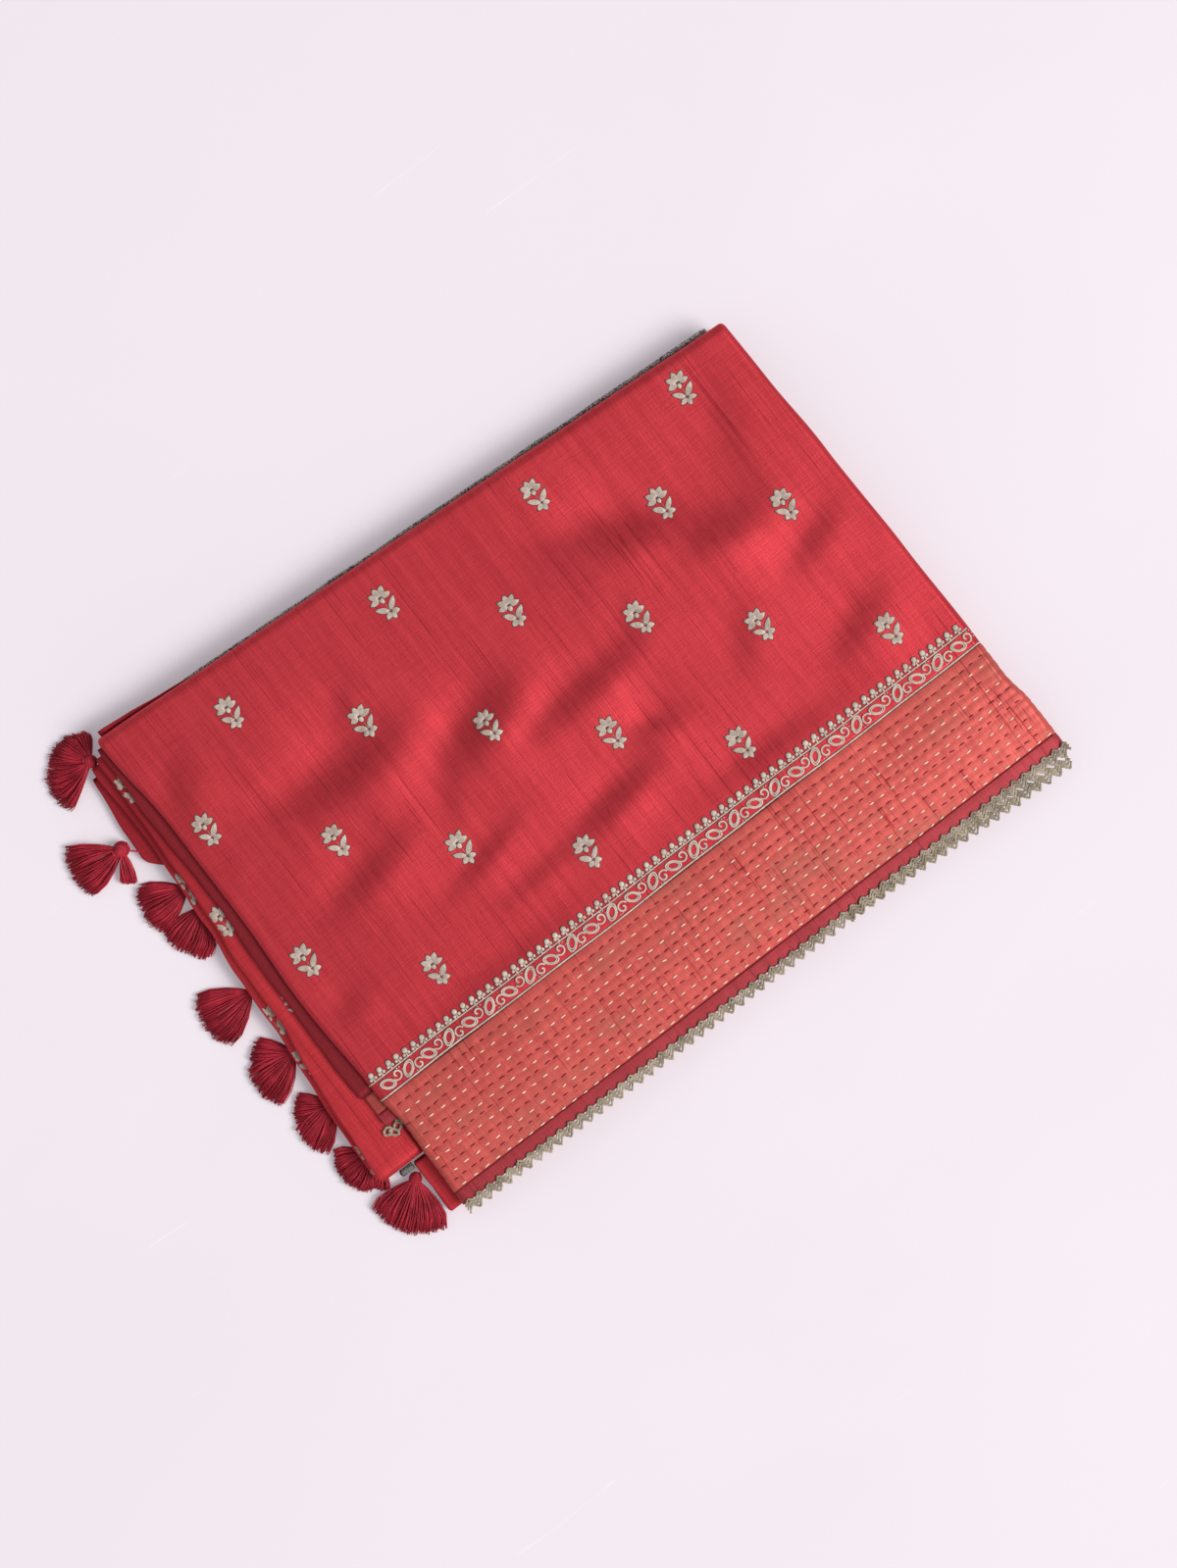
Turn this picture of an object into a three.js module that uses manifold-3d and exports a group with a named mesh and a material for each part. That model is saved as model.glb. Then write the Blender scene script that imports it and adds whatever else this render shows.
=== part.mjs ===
// A silk sari folded for the shelf and laid flat. Millimetres, +Z up.
// X runs along the border, from the tasselled left side to the right side.
// Y runs from the laced hem to the back fold.
// The cloth is 5.5 m long and 1.15 m wide: four widths and about fifteen lengths of it lie on each other.
import * as THREE from "three";
import { mergeVertices } from "three/addons/utils/BufferGeometryUtils.js";
import Module from "manifold-3d";

const wasm = await Module();
wasm.setup();

// ---- Driving dimensions ---------------------------------------------------------------------------------
const STACK_HEIGHT = 24; // top sheet's highest level over the table
const CLOTH = 1.1; // wall of the sheets and strips
const SEAM = 0.3; // gap where two pieces meet
const SEAT = 0.35; // gap between a sheet and the layers it lies on

const HEM_Y = -127; // free front edge of the top sheet
const HEM_TOP_Y = -119.6; // seam of the hem strip and the stitched strip
const KANTHA_TOP_Y = -62; // seam of the stitched strip and the body cloth
const BAND_TOP_Y = -52; // back edge of the embroidered band
const CORE_FRONT_Y = -125.2; // the inner layers end a little short of the hem
const BACK_Y = 152.6; // back fold where x is 0
const BACK_SLANT = 0.064; // how much the back fold runs out of square

const ROLL = { left: 3, right: 4, back: 5 }; // radius of the fold at each side
const LIP_STEPS = 3; // rings round a fold's quarter turn
const CORNER_SHARPNESS = 0.6; // 1 is a round corner in plan, 0 a square one

const FRONT_FALL = 0.0018; // curvature of the slope over the stitched strip
const SIDE_SAG = 1.4; // how far the cloth sinks towards the left and right sides
const MIDDLE_X = 9;
const HALF_WIDTH = 186;
const CREASE_FADE = 22; // creases die out over this distance from the left and right sides

const COLUMNS = 22;
const BODY_ROWS = 15;
const KANTHA_STITCH_ROWS = 12; // rows of running stitch; the cloth puffs up between each two
const KANTHA_PUFF = 0.5; // height of the puff over the stitches

// The sides of the top sheet in plan.
const SIDES = [
  { y: -127, left: -175, right: 198 },
  { y: -100, left: -174, right: 197.5 },
  { y: -80, left: -173.4, right: 194.8 },
  { y: -55, left: -175.6, right: 194.9 },
  { y: 0, left: -177.6, right: 194 },
  { y: 60, left: -175.4, right: 192.8 },
  { y: 105, left: -175.4, right: 191 },
  { y: 165, left: -179, right: 189.5 },
];

// Soft creases of the top sheet, each a ridge with a trough behind it: middle, reach along and across, turn from
// X in degrees, and how steeply it falls across its middle, towards the left of its turned length.
const CREASES = [
  { x: -84, y: 76, long: 26, wide: 20, fall: 0.42, turn: 8 },
  { x: -118, y: 78, long: 22, wide: 16, fall: 0.19, turn: -10 },
  { x: -24, y: 55, long: 24, wide: 18, fall: 0.44, turn: 18 },
  { x: -112, y: 30, long: 25, wide: 13, fall: 0.31, turn: 12 },
  { x: 28, y: 38, long: 32, wide: 13, fall: 0.32, turn: 6 },
  { x: 6, y: -14, long: 25, wide: 12, fall: 0.36, turn: 9 },
  { x: -62, y: 3, long: 22, wide: 9, fall: 0.24, turn: 14 },
  { x: -46, y: -20, long: 20, wide: 9, fall: 0.16, turn: 4 },
  { x: 44, y: 2, long: 13, wide: 11, fall: 0.26, turn: -16 },
  { x: 90, y: 86, long: 34, wide: 20, fall: 0.38, turn: -24 },
  { x: 126, y: 60, long: 22, wide: 18, fall: 0.34, turn: -6 },
  { x: 104, y: 10, long: 16, wide: 13, fall: 0.12, turn: 60 },
  { x: 160, y: 92, long: 28, wide: 16, fall: 0.12, turn: 76 },
  { x: 162, y: 28, long: 17, wide: 12, fall: 0.18, turn: 20 },
  { x: -166, y: 116, long: 18, wide: 15, fall: 0.29, turn: 46 },
  { x: -160, y: -16, long: 14, wide: 12, fall: 0.20, turn: 10 },
  { x: 154, y: -18, long: 18, wide: 14, fall: 0.20, turn: 20 },
  { x: 84, y: -41, long: 36, wide: 13, fall: 0.20, turn: -2 },
  { x: -84, y: -46, long: 40, wide: 12, fall: 0.16, turn: 2 },
  { x: -58, y: 34, long: 14, wide: 10, fall: 0.10, turn: 60 },
  { x: 66, y: 54, long: 14, wide: 11, fall: 0.10, turn: 66 },
  { x: -72, y: 103, long: 11, wide: 10, fall: 0.12, turn: 50 },
];

// ---- Shape of the top sheet -----------------------------------------------------------------------------
const lerp = THREE.MathUtils.lerp;
const smooth = (t) => THREE.MathUtils.smoothstep(t, 0, 1);

// A column of a table at a station between its rows, eased from row to row.
function along(table, key, column, at) {
  const last = table.length - 1;
  const turn = Math.sign(table[last][key] - table[0][key]);
  let i = 0;
  while (i < last - 1 && (at - table[i + 1][key]) * turn > 0) i += 1;
  const t = THREE.MathUtils.clamp((at - table[i][key]) / (table[i + 1][key] - table[i][key]), 0, 1);
  return lerp(table[i][column], table[i + 1][column], smooth(t));
}

const leftAt = (y) => along(SIDES, "y", "left", y);
const rightAt = (y) => along(SIDES, "y", "right", y);
const backAt = (x) => BACK_Y - BACK_SLANT * x;

function creaseHeight(x, y) {
  let sum = 0;
  for (const c of CREASES) {
    const turn = THREE.MathUtils.degToRad(c.turn);
    const dx = x - c.x;
    const dy = y - c.y;
    const lengthwise = (dx * Math.cos(turn) + dy * Math.sin(turn)) / c.long;
    const across = (dy * Math.cos(turn) - dx * Math.sin(turn)) / c.wide;
    const fade = Math.exp(-(lengthwise ** 2) - across ** 2 / 9) / (1 + across ** 2) ** 1.5;
    sum -= c.fall * c.wide * across * fade;
  }
  const inside = Math.min(x - leftAt(y), rightAt(y) - x);
  return sum * smooth(inside / CREASE_FADE);
}

// Level of the sheet's upper face.
function topHeight(x, y) {
  const past = Math.max(0, KANTHA_TOP_Y - y);
  const side = ((x - MIDDLE_X) / HALF_WIDTH) ** 4;
  return STACK_HEIGHT - FRONT_FALL * past ** 2 - SIDE_SAG * side + creaseHeight(x, y);
}

// How far a ring of the folds is bent down, and how far it has come round the corner from side to back.
// a and b count the rings round the left or right fold and round the back fold.
function rollAngles(a, b) {
  const ring = Math.max(a, b);
  const bend = (Math.PI / 2) * (ring / LIP_STEPS);
  const round = (Math.PI / 2) * ((a >= b ? b : 2 * ring - a) / (2 * ring));
  return { bend, round };
}

// Point of the sheet's upper face. s runs over the width and y over the depth.
function sheetPoint(s, y, a, b) {
  const onLeft = s < 0.5;
  const rollX = onLeft ? ROLL.left : ROLL.right;
  const x = lerp(leftAt(y) + ROLL.left, rightAt(y) - ROLL.right, s);
  if (a === 0 && b === 0) return new THREE.Vector3(x, y, topHeight(x, y));
  const { bend, round } = rollAngles(a, b);
  const outX = rollX * Math.sin(bend) * Math.cos(round) ** CORNER_SHARPNESS;
  const outY = ROLL.back * Math.sin(bend) * Math.sin(round) ** CORNER_SHARPNESS;
  const drop = lerp(rollX, ROLL.back, Math.sin(round) ** 2) * (1 - Math.cos(bend));
  return new THREE.Vector3(x + (onLeft ? -outX : outX), y + outY, topHeight(x, y) - drop);
}

// Columns of every sheet: three rings round the left fold, the flat, three rings round the right fold.
function columnList() {
  const list = [];
  for (let a = LIP_STEPS; a > 0; a -= 1) list.push({ s: 0, a });
  for (let i = 0; i <= COLUMNS; i += 1) list.push({ s: i / COLUMNS, a: 0 });
  for (let a = 1; a <= LIP_STEPS; a += 1) list.push({ s: 1, a });
  return list;
}
const COLUMN_LIST = columnList();

const straightRow = (y) => COLUMN_LIST.map(({ s, a }) => sheetPoint(s, y, a, 0));

function evenRows(from, to, count) {
  return Array.from({ length: count + 1 }, (_, i) => straightRow(lerp(from, to, i / count)));
}

// Rows of the body cloth behind the band: they fan out to the slanting back fold and then go round it.
function bodyRows() {
  const rows = [straightRow(KANTHA_TOP_Y + SEAM), straightRow(BAND_TOP_Y)];
  const start = BAND_TOP_Y;
  const rowAt = (t, b) =>
    COLUMN_LIST.map(({ s, a }) => {
      const x = lerp(SIDES.at(-1).left, SIDES.at(-1).right, s);
      return sheetPoint(s, lerp(start, backAt(x) - ROLL.back, t), a, b);
    });
  for (let j = 1; j <= BODY_ROWS; j += 1) rows.push(rowAt(j / BODY_ROWS, 0));
  for (let b = 1; b <= LIP_STEPS; b += 1) rows.push(rowAt(1, b));
  return rows;
}

// ---- Solids from grids of points ------------------------------------------------------------------------
function geometryOf(points, triangles) {
  const geometry = new THREE.BufferGeometry();
  const numbers = points.flatMap((p) => [p.x, p.y, p.z]);
  geometry.setAttribute("position", new THREE.Float32BufferAttribute(numbers, 3));
  geometry.setIndex(triangles.flat());
  return geometry;
}

function gridNormals(grid) {
  const within = (i, count) => THREE.MathUtils.clamp(i, 0, count - 1);
  const at = (r, c) => grid[within(r, grid.length)][within(c, grid[0].length)];
  return grid.map((row, r) =>
    row.map((_, c) => {
      const across = at(r, c + 1).clone().sub(at(r, c - 1));
      const up = at(r + 1, c).clone().sub(at(r - 1, c));
      return across.cross(up).normalize();
    }),
  );
}

// Normals of a sheet: straight out of the roll on the folds, and square to the surface on the flat.
function sheetNormals(grid, backRings) {
  return gridNormals(grid).map((row, r) =>
    row.map((normal, c) => {
      const { s, a } = COLUMN_LIST[c];
      const b = Math.max(0, r - (grid.length - 1 - backRings));
      if (a === 0 && b === 0) return normal;
      const { bend, round } = rollAngles(a, b);
      const out = new THREE.Vector2(s < 0.5 ? -Math.cos(round) : Math.cos(round), Math.sin(round));
      return new THREE.Vector3(out.x * Math.sin(bend), out.y * Math.sin(bend), Math.cos(bend));
    }),
  );
}

// Every point moved out by a distance, or by the distance that a function gives for its row.
const moved = (grid, normals, distance) =>
  grid.map((row, r) => {
    const out = typeof distance === "function" ? distance(r) : distance;
    return row.map((p, c) => p.clone().addScaledVector(normals[r][c], out));
  });

function gridTriangles(rows, columns, first, flipped) {
  const list = [];
  for (let r = 0; r < rows - 1; r += 1) {
    for (let c = 0; c < columns - 1; c += 1) {
      const p = first + r * columns + c;
      const quad = [[p, p + 1, p + columns + 1], [p, p + columns + 1, p + columns]];
      for (const [i, j, k] of quad) list.push(flipped ? [i, k, j] : [i, j, k]);
    }
  }
  return list;
}

// Row and column of every rim point, anticlockwise seen from above.
function rimOf(rows, columns) {
  const rim = [];
  for (let c = 0; c < columns; c += 1) rim.push([0, c]);
  for (let r = 1; r < rows; r += 1) rim.push([r, columns - 1]);
  for (let c = columns - 2; c >= 0; c -= 1) rim.push([rows - 1, c]);
  for (let r = rows - 2; r > 0; r -= 1) rim.push([r, 0]);
  return rim;
}

// The wall between two offsets of a grid along its normals, closed round the rim.
function shell(grid, normals, outer, inner) {
  const rows = grid.length;
  const columns = grid[0].length;
  const size = rows * columns;
  const points = [...moved(grid, normals, outer).flat(), ...moved(grid, normals, inner).flat()];
  const triangles = [...gridTriangles(rows, columns, 0, false), ...gridTriangles(rows, columns, size, true)];
  const rim = rimOf(rows, columns).map(([r, c]) => r * columns + c);
  rim.forEach((p, i) => {
    const q = rim[(i + 1) % rim.length];
    triangles.push([p, p + size, q + size], [p, q + size, q]);
  });
  return geometryOf(points, triangles);
}

// A closed solid through sections with equal point counts, each clockwise seen along the way they run.
function loft(sections) {
  const count = sections[0].length;
  const points = sections.flat();
  const triangles = [];
  for (let s = 0; s < sections.length - 1; s += 1) {
    for (let i = 0; i < count; i += 1) {
      const p = s * count + i;
      const q = s * count + ((i + 1) % count);
      triangles.push([p, q, q + count], [p, q + count, p + count]);
    }
  }
  const end = (sections.length - 1) * count;
  for (let i = 1; i < count - 1; i += 1) triangles.push([0, i + 1, i], [end, end + i, end + i + 1]);
  return geometryOf(points, triangles);
}

// ---- Top sheet: body cloth, embroidered band, stitched strip and hem ------------------------------------
const BAND_SEAT = 0.3;
const BAND_TOP = 1;

const bodyGrid = bodyRows();
const kanthaGrid = evenRows(HEM_TOP_Y + SEAM, KANTHA_TOP_Y, 2 * KANTHA_STITCH_ROWS);
const hemGrid = evenRows(HEM_Y, HEM_TOP_Y, 1);

const bodyPanel = () => shell(bodyGrid, sheetNormals(bodyGrid, LIP_STEPS), 0, -CLOTH);
const hemStrip = () => shell(hemGrid, sheetNormals(hemGrid, 0), 0, -CLOTH);

// The stitched strip is plain inside. Outside it stands up in a puff between each two rows of stitch.
const puff = (r) => (r % 2 === 0 ? KANTHA_PUFF : 0);
const kanthaStrip = () => shell(kanthaGrid, sheetNormals(kanthaGrid, 0), puff, -CLOTH);

// The band lies on the first two rows of the body cloth and stops short of the folds' lowest ring.
function vineBand() {
  const trim = (rows) => rows.slice(0, 2).map((row) => row.slice(1, -1));
  return shell(trim(bodyGrid), trim(sheetNormals(bodyGrid, LIP_STEPS)), BAND_TOP, BAND_SEAT);
}

// ---- Inner layers: one rounded solid under the top sheet, layered at its right, back and front ----------
const LAYERS = 5;
const LAYER_BULGE = 1.3;
const CORE_ROW_STEP = 4; // every fourth row of the stitched strip is one of the inner layers
const LEFT_WALL = -171.4; // the stepped folds on the left side stand against this side
const LEFT_SPREAD = 0.05; // share kept of what the left points lie outside the wall
const FIRST_GROOVE = 0.025; // share of the height at which the layers start under the sheet

function innerLayers() {
  const front = straightRow(HEM_Y).map((p, c) =>
    p.clone().lerp(hemGrid[1][c], (CORE_FRONT_Y - HEM_Y) / (HEM_TOP_Y - HEM_Y)),
  );
  const grid = [front, ...kanthaGrid.filter((_, r) => r % CORE_ROW_STEP === 0).slice(0, -1), ...bodyGrid];
  const top = moved(grid, sheetNormals(grid, LIP_STEPS), -(CLOTH + SEAT));
  const rows = grid.length;
  const columns = grid[0].length;
  const rim = rimOf(rows, columns);
  const points = top.flat();
  const triangles = gridTriangles(rows, columns, 0, false);

  const outward = ([r, c]) => {
    const b = Math.max(0, r - (rows - 1 - LIP_STEPS));
    const a = Math.max(0, c - (columns - 1 - LIP_STEPS));
    if (c <= LIP_STEPS) return new THREE.Vector2(0, 0);
    if (r === 0) return new THREE.Vector2(0, -1);
    return new THREE.Vector2(a, b).normalize();
  };
  const levels = [{ share: FIRST_GROOVE, bulge: 0 }];
  for (let k = 0; k < LAYERS; k += 1) {
    const step = (1 - FIRST_GROOVE) / LAYERS;
    const start = FIRST_GROOVE + k * step;
    levels.push({ share: start + 0.55 * step, bulge: LAYER_BULGE });
    levels.push({ share: start + step, bulge: 0 });
  }
  let ring = rim.map(([r, c]) => r * columns + c);
  for (const { share, bulge } of levels) {
    const next = rim.map(([r, c]) => {
      const p = top[r][c].clone();
      const out = outward([r, c]);
      p.x += out.x * bulge;
      p.y += out.y * bulge;
      p.z *= 1 - share;
      if (p.x < LEFT_WALL) p.x = LEFT_WALL - (LEFT_WALL - p.x) * LEFT_SPREAD;
      points.push(p);
      return points.length - 1;
    });
    ring.forEach((p, i) => {
      const j = (i + 1) % ring.length;
      triangles.push([p, next[i], next[j]], [p, next[j], ring[j]]);
    });
    ring = next;
  }
  const middle = points.push(new THREE.Vector3(MIDDLE_X, 0, 0)) - 1;
  ring.forEach((p, i) => triangles.push([middle, ring[(i + 1) % ring.length], p]));
  return geometryOf(points, triangles);
}

// ---- Folds that step out on the left side ---------------------------------------------------------------
const FOLD_INNER = -172; // the folds' inner side, just clear of the inner layers
const FOLD_ARC = 4; // chords round a fold's outer edge
const END_ROUND = 2.4; // how far a fold's end takes to round off
const END_STEPS = [{ at: 0, full: 0.35 }, { at: 0.4, full: 0.8 }];
const FOLD_Y = [150, 120, 105, 90, 60, 30, 0, -30, -60, -88];

// Levels over the table, ends in y, and the outer edge's x at each station of FOLD_Y.
const FOLDS = [
  {
    name: "fold_1", low: 0, high: 4.7, back: 151, front: -91,
    edge: [-193.6, -197, -197.8, -187, -185, -191.4, -193, -194, -195, -195.4],
  },
  {
    name: "fold_2", low: 5.05, high: 9.6, back: 155, front: -92,
    edge: [-190.4, -189.8, -190, -190.6, -192.6, -195.4, -196.4, -199, -201, -202.4],
  },
  {
    name: "fold_3", low: 9.95, high: 15.1, back: 157, front: -94,
    edge: [-185.6, -185.8, -186.2, -187, -188.6, -191, -192, -195.4, -198.4, -200.4],
  },
  {
    name: "fold_4", low: 15.45, high: 18.2, back: 160, front: -55,
    edge: [-181.6, -182.2, -181.6, -181, -181, -182.8, -183.4, -183.6, -183.2, -182.8],
  },
];

function edgeAt(fold, y) {
  return along(FOLD_Y.map((station, i) => ({ y: station, edge: fold.edge[i] })), "y", "edge", y);
}

// Section across a doubled cloth: flat inside, round at the outer edge. The outline runs round +Y.
function foldSection(inner, outer, low, high, y, full) {
  const middle = (low + high) / 2;
  const half = ((high - low) / 2) * full;
  const radius = Math.min((high - low) / 2, Math.abs(outer - inner) / 2);
  const tip = outer + radius * (1 - full);
  const points = [new THREE.Vector3(inner, y, middle - half)];
  for (let i = 0; i <= FOLD_ARC; i += 1) {
    const angle = -Math.PI / 2 + (Math.PI * i) / FOLD_ARC;
    points.push(new THREE.Vector3(tip + radius * (1 - Math.cos(angle)), y, middle + half * Math.sin(angle)));
  }
  points.push(new THREE.Vector3(inner, y, middle + half));
  return points;
}

// Stations from the front to the back of a fold; an end that meets another piece is left square.
function foldStations(front, back, roundFront, roundBack) {
  const list = [];
  const round = Math.min(END_ROUND, (back - front) / 3);
  if (roundFront) for (const { at, full } of END_STEPS) list.push({ y: front + at * round, full });
  list.push({ y: roundFront ? front + round : front, full: 1 });
  const inside = FOLD_Y.filter((y) => y > front + round + 1 && y < back - round - 1).reverse();
  list.push(...inside.map((y) => ({ y, full: 1 })));
  list.push({ y: roundBack ? back - round : back, full: 1 });
  if (!roundBack) return list;
  for (const { at, full } of END_STEPS.toReversed()) list.push({ y: back - at * round, full });
  return list;
}

function foldPiece(fold, front, back, roundFront = true, roundBack = true) {
  const stations = foldStations(front, back, roundFront, roundBack);
  return loft(
    stations.map(({ y, full }) => foldSection(FOLD_INNER, edgeAt(fold, y), fold.low, fold.high, y, full)),
  );
}

// ---- Second border, whose end shows between the top sheet and the folds ---------------------------------
const SECOND_KANTHA_Y = -66;
const SECOND_HEM_Y = -73;

// ---- Other folded edges that show -----------------------------------------------------------------------
const LOW_FLAP = { low: 0, high: 8, outer: -183, back: -95.6, front: -126.3 };
const PRINT_CORNER = { low: 4, high: 8.4, outer: -191.6, inner: -183.4, back: -94.8, front: -98.4 };

// Folded edges behind the stack: levels, ends in x, how far they stand out past the back fold at each end.
const BACK_FOLDS = {
  print: { low: 9.2, high: 12.2, from: -130, to: 182, proudFrom: 2.4, proudTo: 3.4, steps: 16 },
  red: { low: 12.9, high: 16.4, from: -176, to: -126, proudFrom: 4.4, proudTo: 1.4, steps: 5 },
};
const BACK_FOLD_INNER = 0.45; // inner side of these folds, measured from the back fold's line

function backFold({ low, high, from, to, proudFrom, proudTo, steps }) {
  const sections = [];
  const middle = (low + high) / 2;
  for (let i = 0; i <= steps; i += 1) {
    const x = lerp(from, to, i / steps);
    const full = i === 0 || i === steps ? 0.5 : 1;
    const proud = lerp(proudFrom, proudTo, i / steps);
    const outer = backAt(x) + proud;
    const inner = backAt(x) + BACK_FOLD_INNER;
    const radius = Math.min((high - low) / 2, (proud - BACK_FOLD_INNER) / 2);
    const half = ((high - low) / 2) * full;
    const section = [new THREE.Vector3(x, inner, middle - half)];
    for (let k = 0; k <= FOLD_ARC; k += 1) {
      const angle = -Math.PI / 2 + (Math.PI * k) / FOLD_ARC;
      section.push(
        new THREE.Vector3(x, outer - radius * (2 - full - Math.cos(angle)), middle + half * Math.sin(angle)),
      );
    }
    section.push(new THREE.Vector3(x, inner, middle + half));
    sections.push(section);
  }
  return loft(sections);
}

// A short folded piece with the section of a fold.
function shortFold({ low, high, outer, inner = FOLD_INNER, back, front }) {
  const stations = foldStations(front, back, true, true);
  return loft(stations.map(({ y, full }) => foldSection(inner, outer, low, high, y, full)));
}

// ---- Crochet lace: a zigzag strip with teeth on both sides ----------------------------------------------
const TOOTH = 6.25; // pitch of the teeth
const LACE_THICK = 1;
const LACE = { from: -174.6, to: 199.2, tip: -125.6, valley: -128.4, rootLow: -131, tipLow: -133 };
const LOWER_LACE = {
  from: 62, to: 195.6, drop: 3.4, inner: -126.9, outerFrom: -132.4, outerTo: -138, wave: 1.1,
};
const SECOND_LACE = { from: -183.8, to: -172.4, level: 15.5, inner: -73.5, outer: -79.4, wave: 1.8 };

function zigzag(from, to, pointAt) {
  const halves = Math.round((to - from) / (TOOTH / 2));
  const rows = [[], []];
  for (let i = 0; i <= halves; i += 1) {
    const x = lerp(from, to, i / halves);
    const odd = i % 2 === 1;
    rows[0].push(pointAt(x, odd, true));
    rows[1].push(pointAt(x, odd, false));
  }
  return rows;
}

// The upper lace is sewn on the hem: its back teeth lie on the strip and its front teeth stand past it.
function upperLace() {
  const grid = zigzag(LACE.from, LACE.to, (x, odd, front) => {
    const y = front ? (odd ? LACE.tipLow : LACE.rootLow) : (odd ? LACE.tip : LACE.valley);
    const over = THREE.MathUtils.clamp(x, leftAt(HEM_Y) + ROLL.left, rightAt(HEM_Y) - ROLL.right);
    return new THREE.Vector3(x, y, topHeight(over, y) + SEAT);
  });
  return shell(grid, gridNormals(grid), LACE_THICK, 0);
}

// The lace of the next layer, which runs out from under the hem towards the right.
function lowerLace() {
  const grid = zigzag(LOWER_LACE.from, LOWER_LACE.to, (x, odd, front) => {
    const share = (x - LOWER_LACE.from) / (LOWER_LACE.to - LOWER_LACE.from);
    const outer = lerp(LOWER_LACE.outerFrom, LOWER_LACE.outerTo, smooth(share)) + (odd ? 0 : LOWER_LACE.wave);
    return new THREE.Vector3(x, front ? outer : LOWER_LACE.inner, topHeight(x, HEM_Y) - LOWER_LACE.drop);
  });
  return shell(grid, gridNormals(grid), 0, -LACE_THICK);
}

function secondLace() {
  const grid = zigzag(SECOND_LACE.from, SECOND_LACE.to, (x, odd, front) => {
    const y = front ? SECOND_LACE.outer + (odd ? 0 : SECOND_LACE.wave) : SECOND_LACE.inner;
    return new THREE.Vector3(x, y, SECOND_LACE.level);
  });
  return shell(grid, gridNormals(grid), LACE_THICK, 0);
}

// ---- Tassels on the sari's end --------------------------------------------------------------------------
// Knot's middle and radius, then the fans of locks: heading and spread in degrees, length (which may grow to longTo
// over the fan) and number. A knot with no x is tucked under the second fold, seated on the first fold's edge. One
// tassel hangs on a cord.
const TASSELS = [
  { x: -188.4, y: 158.6, z: 6.8, knot: 3.4, fans: [{ heading: 132, spread: 148, long: 15, longTo: 28, locks: 17 }] },
  {
    x: -203, y: 115, z: 4.8, knot: 4.2, cordTo: { x: -196.6, y: 108.6, z: 4.75 },
    fans: [
      { heading: 171, spread: 60, long: 29, locks: 12 },
      { heading: 244, spread: 24, long: 18, locks: 4 },
    ],
  },
  { y: 80, z: 2.3, knot: 2.2, fans: [{ heading: 171, spread: 56, long: 25.5, locks: 11 }] },
  { y: 68, z: 2.3, knot: 2.2, fans: [{ heading: 207, spread: 58, long: 26.5, locks: 12 }] },
  { y: 20, z: 2.4, knot: 2.4, fans: [{ heading: 179, spread: 58, long: 29.5, locks: 13 }] },
  {
    y: -17, z: 2.3, knot: 2.2,
    fans: [
      { heading: 141, spread: 36, long: 22, locks: 6 },
      { heading: 190, spread: 50, long: 28, locks: 10 },
    ],
  },
  {
    y: -48, z: 2.3, knot: 2.2,
    fans: [
      { heading: 152, spread: 50, long: 18.5, locks: 7 },
      { heading: 206, spread: 38, long: 25, locks: 8 },
    ],
  },
  { y: -79, z: 2.3, knot: 2.2, fans: [{ heading: 182, spread: 86, long: 18, locks: 11 }] },
  { y: -89, z: 2.3, knot: 2, fans: [{ heading: 232, spread: 36, long: 10.5, locks: 4 }] },
  { x: -186.8, y: -102.8, z: 4.2, knot: 3.3, fans: [{ heading: 227, spread: 88, long: 29, locks: 16 }] },
];
const LOCK = { root: 0.5, belly: 0.95, tip: 0.7 }; // half width of a lock along its length
const TIER = 1.15; // the locks lie in two tiers, this far over and under the fan's middle
const TIP_Z = 2.2;
const BELLY_AT = 0.55;
const CURL = 0.06; // how far a lock's belly lies to one side, as a share of its length
const KNOT_CHORDS = 8;

function solid(geometry) {
  const plain = new THREE.BufferGeometry();
  plain.setAttribute("position", geometry.getAttribute("position").clone());
  if (geometry.index) plain.setIndex(geometry.index.clone());
  const merged = mergeVertices(plain, 1e-4);
  return new wasm.Manifold(
    new wasm.Mesh({
      numProp: 3,
      vertProperties: new Float32Array(merged.getAttribute("position").array),
      triVerts: new Uint32Array(merged.index.array),
    }),
  );
}

function fromSolid(made) {
  const mesh = made.getMesh();
  const geometry = new THREE.BufferGeometry();
  geometry.setAttribute("position", new THREE.BufferAttribute(new Float32Array(mesh.vertProperties), 3));
  geometry.setIndex(new THREE.BufferAttribute(new Uint32Array(mesh.triVerts), 1));
  return geometry;
}

// A three-sided strand through points with a half width at each.
function strand(points, widths) {
  const reach = new THREE.Vector3().subVectors(points.at(-1), points[0]);
  const side = reach.cross(new THREE.Vector3(0, 0, 1)).normalize();
  return loft(
    points.map((p, i) => [
      p.clone().addScaledVector(side, widths[i]),
      p.clone().addScaledVector(side, -widths[i]),
      p.clone().add(new THREE.Vector3(0, 0, widths[i] * 1.4)),
    ]),
  );
}

const seatedX = (y, knot) => edgeAt(FOLDS[0], y) - SEAT - knot;

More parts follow.
